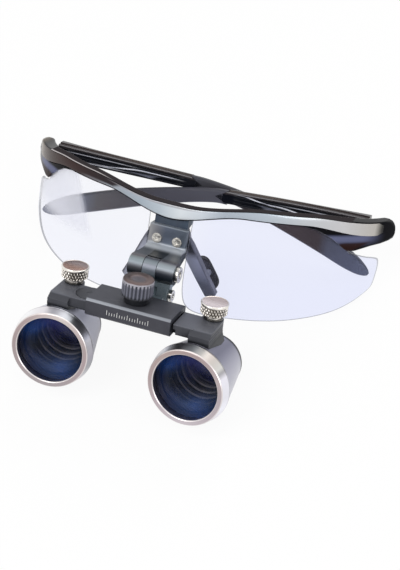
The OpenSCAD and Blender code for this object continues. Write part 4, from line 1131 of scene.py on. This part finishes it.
LOW_EDGE = np.array([
    (46, 7.02), (51.8, 5.6), (56.5, 2.7), (59.3, 0.1), (60.9, -1.7), (62, -2.5), (64.1, -2.6),
    (68.7, -1), (71.5, -0.4), (73.6, 0.4), (74.6, 1.3), (75, 2.4), (75.2, 3.6)]).T
HIGH_EDGE = np.array([
    (70, 8.5), (72, 8.5), (73.3, 8.1), (74.2, 7.3), (74.8, 6.2), (75.1, 5), (75.2, 3.6)]).T


def section_of(corners, radii, steps=4):
    """Softened sections, one for each place along a bar, from corner arrays of equal length."""
    rows = np.stack([np.stack(np.broadcast_arrays(a, b), -1) for a, b in corners], 1)
    return soften(rows, radii, steps)


def with_share(part, x, section, low, high):
    """Replaces a bar's UVs by its x and the share of the way from its low to its top edge."""
    v, f, _ = part
    share = (section[..., 0] - low[:, None]) / np.maximum(high - low, 0.1)[:, None]
    return v, f, as_uv(x[:, None], share)


def fairing_half(x, top, front, radii):
    """Half of an end fairing: its lower edge is a polyline, and its top is given for each x."""
    low, back = np.interp(x, *LOW_EDGE), WRAP_R - END_T
    section = section_of([(low, front), (top, front), (top, back), (low, back)], radii, 5)
    return wrap_bar(x, section, HINGE_Y + END_BACK)


class LOUPE_OT_brow(bpy.types.Operator):
    """Brow bar, its plated trim and the two end fairings"""

    bl_idname = "loupe.brow"
    bl_label = "Brow and fairings"

    def execute(self, context):
        x = np.linspace(-BROW_HALF, BROW_HALF, 181)
        low, top = brow_low(x), brow_top(x)
        line, sunk = 0.35, 0.6
        floor, back = WRAP_R - sunk, WRAP_R - BROW_T
        outline = [(low, WRAP_R), (low + line, WRAP_R), (low + line, floor), (top - line, floor),
                   (top - line, WRAP_R), (top, WRAP_R), (top, back), (low, back)]
        section = section_of(outline, [0.14, 0.1, 0.1, 0.1, 0.1, 0.2, 1.1, 1.1])
        bar = with_share(wrap_bar(x, section), x, section, low, top)
        build("brow_bar", [bar], GLASSES, brow_finish(), "brow_frame")

        x = TRIM_HALF * np.sin(np.linspace(-np.pi / 2, np.pi / 2, 221))
        low, top = brow_low(x) + line, brow_top(x) - line
        pinch = 1 - ease((np.abs(x) - TRIM_HALF + 1.6) / 1.6) * 0.4
        mid, half = (low + top) / 2, (top - low) / 2 * pinch
        edge, crown, back = WRAP_R + 0.1, WRAP_R + 0.24, WRAP_R - 0.7
        outline = [(mid - half, edge), (mid - half * 0.4, crown), (mid + half * 0.4, crown),
                   (mid + half, edge), (mid + half, back), (mid - half, back)]
        section = section_of(outline, [0.25, 1.5, 1.5, 0.25, 0.05, 0.05])
        trim = with_share(wrap_bar(x, section), x, section, low, top)
        build("brow_plating", [trim], GLASSES, trim_finish(), "brow_trim")

        fairing, steel = fairing_finish(), bright_steel("hinge_pin_steel")
        x = np.linspace(46, BROW_HALF, 40)
        top = np.maximum(brow_low(x) + line, np.interp(x, *LOW_EDGE) + 0.3)
        under = fairing_half(x, top, WRAP_R - 0.05, [1.2, 0.1, 0.1, 1.2])
        x = BROW_HALF + END_RUN * np.sin(np.linspace(0, np.pi / 2, 56))
        top = np.where(x < 70, brow_top(x), np.interp(x, *HIGH_EDGE))
        cap = fairing_half(x, top, WRAP_R - 0.02, [1.2, 0.9, 1.2, 1.2])
        slot = prism(oblong(57.5, 71.65, 42.85, 58), 1.9, 6.1, 0.02)
        for side, sx in SIDES:
            mirror, node = GLASSES @ mirror_x(sx), f"end_piece_{side}"
            build(f"end_fairing_{side}", [under], mirror, fairing, node)
            cut_slot(
                build(f"end_cap_{side}", [cap], mirror, fairing, node, weighted=False),
                mesh_of("slot", [slot], mirror, 30))
            dress(f"hinge_pin_{side}", steel)
        return {"FINISHED"}


def cut_slot(o, slot):
    """Cuts the slot for the temple's hinge eye out of an end cap."""
    tool = add("slot", slot)
    cut = o.modifiers.new("Slot", "BOOLEAN")
    cut.object, cut.operation, cut.solver = tool, "DIFFERENCE", "EXACT"
    bpy.context.view_layer.update()
    state = bpy.context.evaluated_depsgraph_get()
    result = bpy.data.meshes.new_from_object(o.evaluated_get(state))
    o.modifiers.clear()
    o.data = result
    bpy.data.objects.remove(tool)
    smooth(result, SMOOTH)
    even_normals(o)


# Side lenses and nose piece
LENS_EDGE = [
    (8.5, 4.3), (8.2, -3), (8, -12), (8, -20), (8.3, -25), (9.3, -29), (11, -31.2), (13.6, -32.4),
    (18, -32.9), (24, -32.8), (30, -32.6), (35, -32.4), (40.3, -32), (45.2, -31.4), (50.1, -30.5),
    (54.8, -29.4), (59.3, -28), (63.1, -26.2), (66.5, -23.7), (69.1, -20.9), (70.4, -19.2),
    (71, -17.6), (71.3, -14.9), (71.6, -10.4), (71.3, -7.4), (70.4, -6.6), (67.2, -5.7),
    (65.2, -4.8), (63.1, -4), (62.1, -3.1), (61.3, -1.2), (59.9, 0.9), (57.4, 4.6)]

# The pads sit behind the bridge's arms, which lean back
NOSE_LEAN = 22.0
PAD_Y = 2.6 + 15.1 * math.tan(math.radians(NOSE_LEAN)) + 6.5
PAD_R, PAD_STRETCH = 3.75, 3.25


def clear_finish():
    """Clear sheet that tints what is behind it, with a patch of glare and a grey edge."""
    f = Finish("side_lens_clear", (236, 238, 250), 0.04, shine=0.3)
    _, level = f.surface()
    x, _, z = f.axes(GLASSES)
    rim = level.rise(0.984, 0.994)
    across = x + z * 0.5
    glare = across.fall(-43.5, -39.5) * z.rise(-19.0, -11.0) * (1 - across.rise(-60.0, -42.0) * 0.3)
    f.set(Base_Color=f.mix(rim, (245, 246, 253), (128, 130, 138)),
          Alpha=(glare * 0.72 + 0.03).most(rim * 0.6))
    cast = x.rise(-10.0, 20.0) * 0.45 + 0.22 + z.fall(-26.0, 4.0) * 0.1
    tinted = f.node("ShaderNodeBsdfTransparent", sockets={"Color": tone(241, 243, 254)})
    f.mix_shader(cast * (1 - rim), tinted)
    return f.material


class LOUPE_OT_lenses(bpy.types.Operator):
    """The two clear side lenses"""

    bl_idname = "loupe.lenses"
    bl_label = "Side lenses"

    def execute(self, context):
        top = [(k, float(brow_low(k)) + 1.6) for k in np.linspace(56.5, 8.5, 17)]
        outline = soften(np.array(LENS_EDGE[1:] + top), 2.2, 4)
        finish = clear_finish()
        sheet = wrap_sheet(outline, (20, 60), (-13, -14), LENS_R, LENS_R - LENS_T)
        for side, sx in SIDES:
            build(
                f"clear_sheet_{side}", [sheet], GLASSES @ mirror_x(sx), finish, f"lens_{side}", 50,
                weighted=False)
        return {"FINISHED"}


def strip_finish():
    """Slate plastic with painted light: near black in the shade under the brow, palest half way
    down and lit from one side.
    """
    f = Finish("nose_strip", (56, 56, 72), 0.3, shine=0.25)
    x, _, z = f.axes(GLASSES)
    # Painted shade under the brow, and painted light half way down.
    base = f.along(
        z, (-29, 84, 86, 94), (-23, 100, 102, 112), (-20, 142, 144, 154), (-16, 170, 172, 182),
        (-13, 176, 178, 188), (-10, 52, 52, 58), (-2, 24, 24, 27))
    # A painted reflection on one side, below the brow.
    base = f.mix((x < -5) * z.fall(-10.0, -6.0) * 0.8, base, (196, 198, 208))
    # Painted lighter toward the outer edges.
    side = f.mix((abs(x) + z * 0.49 - 5.4).rise(-0.3, 0.5), base, (118, 118, 126))
    return f.made(side, f.noise(0.4, 2.0) * 0.14 + 0.22)


class LOUPE_OT_nose(bpy.types.Operator):
    """Nose bridge strip and its two pads"""

    bl_idname = "loupe.nose"
    bl_label = "Nose piece"

    def execute(self, context):
        machined("nose_bridge", strip_finish(), 1.3)
        pad = soft_rubber("nose_pad_black", (24, 21, 24), (40, 36, 42), 0.34, 5.0)
        # A ring of size k at height h is k (R cos a, R sin a + S tanh(6 sin a)): a long oval
        a = circle(72)
        x, y = PAD_R * np.cos(a), PAD_R * np.sin(a) + PAD_STRETCH * np.tanh(6 * np.sin(a))
        rings = [
            (1.0, -0.35), (0.99, 0.2), (0.9, 0.85), (0.78, 1.2), (0.66, 1.28), (0.5, 1.05),
            (0.3, 0.8), (0.1, 0.72)]
        rows = [(k, -h) for k, h in rings[::-1]] + rings
        pts = np.array([np.column_stack([x * k, np.full_like(x, h), y * k]) for k, h in rows])
        for side, sx in SIDES:
            at = GLASSES @ mirror_x(sx) @ shift(12.95, PAD_Y, -20.1) @ turn(1, -37) @ turn(2, 45)
            build(
                f"soft_pad_{side}", [grid(pts, around=True, ends=True)], at, pad,
                f"nose_pad_{side}", 60)
        return {"FINISHED"}


# Temples
def temple_black_finish(sx):
    """Glossy black, with painted light along its grooves and on a wedge near the neck, its upper
    band lighter.
    """
    f = Finish(f"temple_gloss_{sx}", (13, 13, 16), 0.16, IOR=1.15)
    y, w = f.surface()
    centre = y.rise(22.0, 42.0) * 0.62 - 0.62
    if sx > 0:
        centre = centre + y.rise(42.0, 58.0) * 0.75
    # Painted highlight lines along the temple.
    bright = abs(w - centre).fall(0.03, 0.12) * y.band(16.0, 30.0, 50.0, 60.0)
    fine = abs(w - 0.3).fall(0.02, 0.09) * y.band(5.0, 14.0, 30.0, 42.0) * 0.5
    low = abs(w + 0.68).fall(0.02, 0.09) * y.band(5.0, 12.0, 20.0, 40.0) * 0.6
    wedge = (abs(w + 0.55) - (y - 34) * 0.02).fall(-0.05, 0.05) * y.rise(34.0, 37.0)
    wedge = wedge * (y - w * 6).fall(48.0, 51.0)
    # Its upper band painted lighter, and a painted highlight along its top edge.
    base = f.mix(w.rise(0.52, 0.62), (18, 20, 27), (52, 48, 50))
    base = f.mix(abs(w - 0.9).fall(0.03, 0.09) * 0.7, base, (150, 148, 150))
    base = f.mix(wedge * 0.7, base, (122, 125, 140))
    base = f.mix(bright.most(fine).most(low) * 0.95, base, (226, 228, 238))
    return f.made(base, f.noise(0.3, 2.0) * 0.1 + 0.1)


def temple_plating_finish():
    f = Finish("temple_plating", (96, 86, 82), 0.24, 0.7, shine=0.2)
    y, w = f.surface()
    waves = f.noise(0.12, 2.0, stretch=(4, 1, 1))
    # Painted reflections along the temple, and darker along its top and bottom edges.
    base = f.along(y, (0, 58, 50, 50), (24, 82, 70, 66), (44, 118, 108, 102), (66, 92, 86, 84))
    base = f.mix(abs(w).rise(0.9, 0.99) * 0.8, base, (34, 32, 35))
    return f.made(base, waves * 0.12 + 0.18)


def tip_finish(sx):
    """Slate rubber, painted with the light along it: browner half way and paler toward its end."""
    f = Finish(f"tip_slate_{sx}", colours().tips, 0.45, shine=0.2)
    s, w = f.surface()
    if sx > 0:
        # Painted light and reflections along the tip.
        base = f.along(
            s, (0, 78, 78, 88), (24, 73, 72, 82), (40, 72, 66, 70), (50, 96, 92, 92),
            (56, 120, 124, 138), (74, 120, 124, 140))
    else:
        base = f.along(
            s, (0, 56, 56, 62), (24, 50, 44, 47), (38, 72, 55, 51), (52, 62, 45, 40),
            (56, 90, 92, 104), (66, 96, 100, 114), (74, 112, 116, 128))
    # Painted shade along its upper part, and a painted highlight along its lower edge.
    base = f.mix(w.rise(0.6, 0.95) * 0.5, base, (40, 40, 48))
    base = f.mix(w.fall(-0.96, -0.84) * 0.8, base, (176, 178, 190))
    grain = f.noise(4.0, 2.0)
    return f.made(f.mix(0.15, base, tuple(colours().tips)), grain * 0.12 + 0.38, grain, 0.1)


def chevron(w):
    """Length of the straight part at a share w of its half height: a shallow point."""
    return STRAIGHT + 2 - 5 * np.abs(w)


class LOUPE_OT_temples(bpy.types.Operator):
    """Both temples: grooved inner panel, plated outer shell and rubber tip"""

    bl_idname = "loupe.temples"
    bl_label = "Temples"

    def execute(self, context):
        plating = temple_plating_finish()
        for side, sx in SIDES:
            for name, parts, finish, node, angle in (
                    ("grooved_panel", self.panel(sx), temple_black_finish(sx), "temple", 40),
                    ("plated_shell", [self.shell(sx)], plating, "temple_shell", 40),
                    ("soft_tip", [self.tip(sx)], tip_finish(sx), "temple_tip", 50)):
                build(f"{name}_{side}", parts, temple_place(sx), finish, f"{node}_{side}", angle)
        return {"FINISHED"}

    def panel(self, sx):
        """Inner panel: x = groove depth - PANEL_X, over y along the temple and w across it."""
        t = np.linspace(0, 1, 90)[:, None]
        face = np.sin(np.linspace(-np.pi / 2, np.pi / 2, 61))
        w = np.concatenate([face, [1, -1]])[None, :]
        y = ROOT_Y + (chevron(w) - ROOT_Y) * t
        half = temple_half(y) - 0.42
        groove = sum(np.exp(-((w - c) / 0.11) ** 2) for c in (-0.56, 0.0, 0.56))
        lip = 0.35 * (1 - np.sqrt(np.clip(1 - ((np.abs(w) - 0.86) / 0.14).clip(0, 1) ** 2, 0, 1)))
        x = 0.5 * groove * ease((y - 6) / 6) * ease((60 - y) / 6) + lip - PANEL_X
        x[:, face.size:] = 0.4
        z = temple_mid(y, sx) + w * half
        v, f, _ = grid(np.stack([x, y, z], -1), around=True, ends=True)
        parts = [(v, f, as_uv(y, w))]
        eye = solid_turned([(0, 2.02), (2.0, 2.02), (2.0, 5.98), (0, 5.98)], 0.15, 48)
        for v, f, _ in (prism(oblong(-PANEL_X, 1.55, 0, 4.4), 2.02, 5.98, 0.15, 0.1), eye):
            parts.append((v, f, np.zeros((len(v), 2))))
        return parts

    def shell(self, sx):
        """Outer shell: a softened section from the split to the flared outer face."""
        t = np.linspace(0, 1, 80)
        y = ROOT_Y + (STRAIGHT + 2 - ROOT_Y) * t
        outer = np.interp(
            y, [ROOT_Y, 7, 12, 20, 30, 38, 70], [3.9, 3.7, 3.1, 2.4, 1.85, 1.75, 1.75])
        half = temple_half(y)
        section = section_of([
            (-half, 0.36), (half, 0.36), (half, outer), (-half, outer)], [0.1, 0.1, 0.9, 0.9], 5)
        w = section[..., 0] / half[:, None]
        yy = ROOT_Y + (chevron(np.clip(w, -1, 1)) - ROOT_Y) * t[:, None]
        z = temple_mid(yy, sx) + w * temple_half(yy)
        v, f, _ = grid(np.stack([section[..., 1], yy, z], -1), around=True, ends=True)
        return v, f, as_uv(yy, w)

    def tip(self, sx):
        """Rubber tip: its middle drops by a power of the length, and its end is round."""
        s = TIP_LEN * (np.sin(np.linspace(0, np.pi / 2, 90)) + np.linspace(0, 1, 90)) / 2
        half = np.maximum(tip_half(s), 0.02)
        inner = np.interp(
            s, [0, TIP_LEN - 4, TIP_LEN - 1, TIP_LEN + 1], [-PANEL_X, -PANEL_X, -0.85, -0.55])
        outer = np.interp(
            s, [0, 10, TIP_LEN - 4, TIP_LEN - 1, TIP_LEN + 1], [PANEL_X, 1.25, 1.25, 0.45, 0.05])
        section = section_of([(-half, inner), (half, inner), (half, outer), (-half, outer)], 1.1, 5)
        w = np.clip(section[..., 0] / half[:, None], -1, 1)
        start = chevron(w) - STRAIGHT
        s, even = s[:, None], ease(s / 12)[:, None]
        ss = (start + (TIP_LEN - start) * (s / TIP_LEN)) * (1 - even) + s * even
        z = tip_mid(ss, sx) + w * np.maximum(tip_half(ss), 0.02)
        v, f, _ = grid(np.stack([section[..., 1], STRAIGHT + ss, z], -1), around=True, ends=True)
        return v, f, as_uv(ss, w)


# Stage
class LOUPE_OT_stage(bpy.types.Operator):
    """White floor and world, soft lamps, and the camera"""

    bl_idname = "loupe.stage"
    bl_label = "Stage"

    def execute(self, context):
        scene = context.scene
        scene.view_settings.view_transform = "Standard"
        self.floor()
        self.world(scene)
        for name, at, size, power, colour in (
                ("key", (-0.35, -0.55, 0.95), 0.7, 5.0, (1, 0.985, 0.96)),
                ("fill", (0.85, -0.35, 0.55), 0.6, 2.2, (0.95, 0.97, 1)),
                ("rear", (0.1, 0.8, 0.7), 0.7, 2.6, (1, 1, 1))):
            lamp = bpy.data.lights.new(name, "AREA")
            lamp.shape, lamp.size, lamp.energy, lamp.color = "DISK", size, power, colour
            o = add(name, lamp)
            o.location = at
            aim = Vector((0, 0, 0.02)) - o.location
            o.rotation_euler = aim.to_track_quat("-Z", "Y").to_euler()
        self.camera(scene)
        return {"FINISHED"}

    def floor(self):
        mesh = bpy.data.meshes.new("floor")
        a = circle(64)
        ring = np.column_stack([4 * np.cos(a), 4 * np.sin(a), 0 * a])
        mesh.from_pydata(ring.tolist(), [], [list(range(len(a)))])
        f = Finish("floor_white", (0.92, 0.92, 0.92, 1), 0.9)
        glow = f.node("ShaderNodeEmission", sockets={"Color": (1, 1, 1, 1), "Strength": 1.0})
        f.mix_shader(f.seen() * 0.92, glow)
        mesh.materials.append(f.material)
        add("floor", mesh)

    def world(self, scene):
        world = bpy.data.worlds.new("studio")
        world.use_nodes = True
        scene.world = world
        studio = Nodes(world.node_tree)
        sky = studio.tree.nodes["Background"]
        sky.inputs["Color"].default_value = (1, 1, 1, 1)
        studio.feed(sky.inputs["Strength"], studio.seen() * 0.45 + 0.55)

    def camera(self, scene):
        """Placed by the photograph: 106.4 mm lens on a 36 mm high sensor."""
        back = LOUPE[:3, :3] @ np.array([0.2701, -0.8698, 0.413])
        right = LOUPE[:3, :3] @ [0.932, 0.3439, 0.1148]
        up = np.cross(back, right)
        m = np.eye(4)
        m[:3, 0], m[:3, 1], m[:3, 2] = right, up / np.linalg.norm(up), back
        m[:3, 3] = placed(np.array([184.42, -505.62, 280.92]), LOUPE)
        cam = bpy.data.cameras.new("camera")
        cam.sensor_fit, cam.sensor_height, cam.lens = "VERTICAL", 36.0, 106.39
        cam.clip_start, cam.clip_end = 0.01, 20
        scene.camera = add("camera", cam)
        scene.camera.matrix_world = Matrix(m.tolist())


class LOUPE_PT_panel(bpy.types.Panel):
    """Lists the loupe's settings and pieces"""

    bl_label = "Loupe glasses"
    bl_idname = "LOUPE_PT_panel"
    bl_space_type = "VIEW_3D"
    bl_region_type = "UI"
    bl_category = "Loupe"

    def draw(self, context):
        for group in (context.scene.loupe_colours, context.scene.loupe_sizes):
            box = self.layout.box()
            for name in group.__annotations__:
                box.prop(group, name)
        for operator in OPERATORS:
            self.layout.operator(operator.bl_idname)


OPERATORS = (
    LOUPE_OT_barrels, LOUPE_OT_knobs, LOUPE_OT_bar, LOUPE_OT_hinge, LOUPE_OT_brow, LOUPE_OT_lenses,
    LOUPE_OT_nose, LOUPE_OT_temples, LOUPE_OT_stage)
CLASSES = (LoupeColours, LoupeSizes, *OPERATORS, LOUPE_PT_panel)


def register():
    for c in CLASSES:
        bpy.utils.register_class(c)
    bpy.types.Scene.loupe_colours = bpy.props.PointerProperty(type=LoupeColours)
    bpy.types.Scene.loupe_sizes = bpy.props.PointerProperty(type=LoupeSizes)


def unregister():
    del bpy.types.Scene.loupe_sizes
    del bpy.types.Scene.loupe_colours
    for c in reversed(CLASSES):
        bpy.utils.unregister_class(c)


def main():
    register()
    for operator in OPERATORS:
        group, name = operator.bl_idname.split(".")
        result = getattr(getattr(bpy.ops, group), name)()
        if "FINISHED" not in result:
            raise RuntimeError(f"{operator.bl_idname} did not finish")


if __name__ == "__main__":
    main()
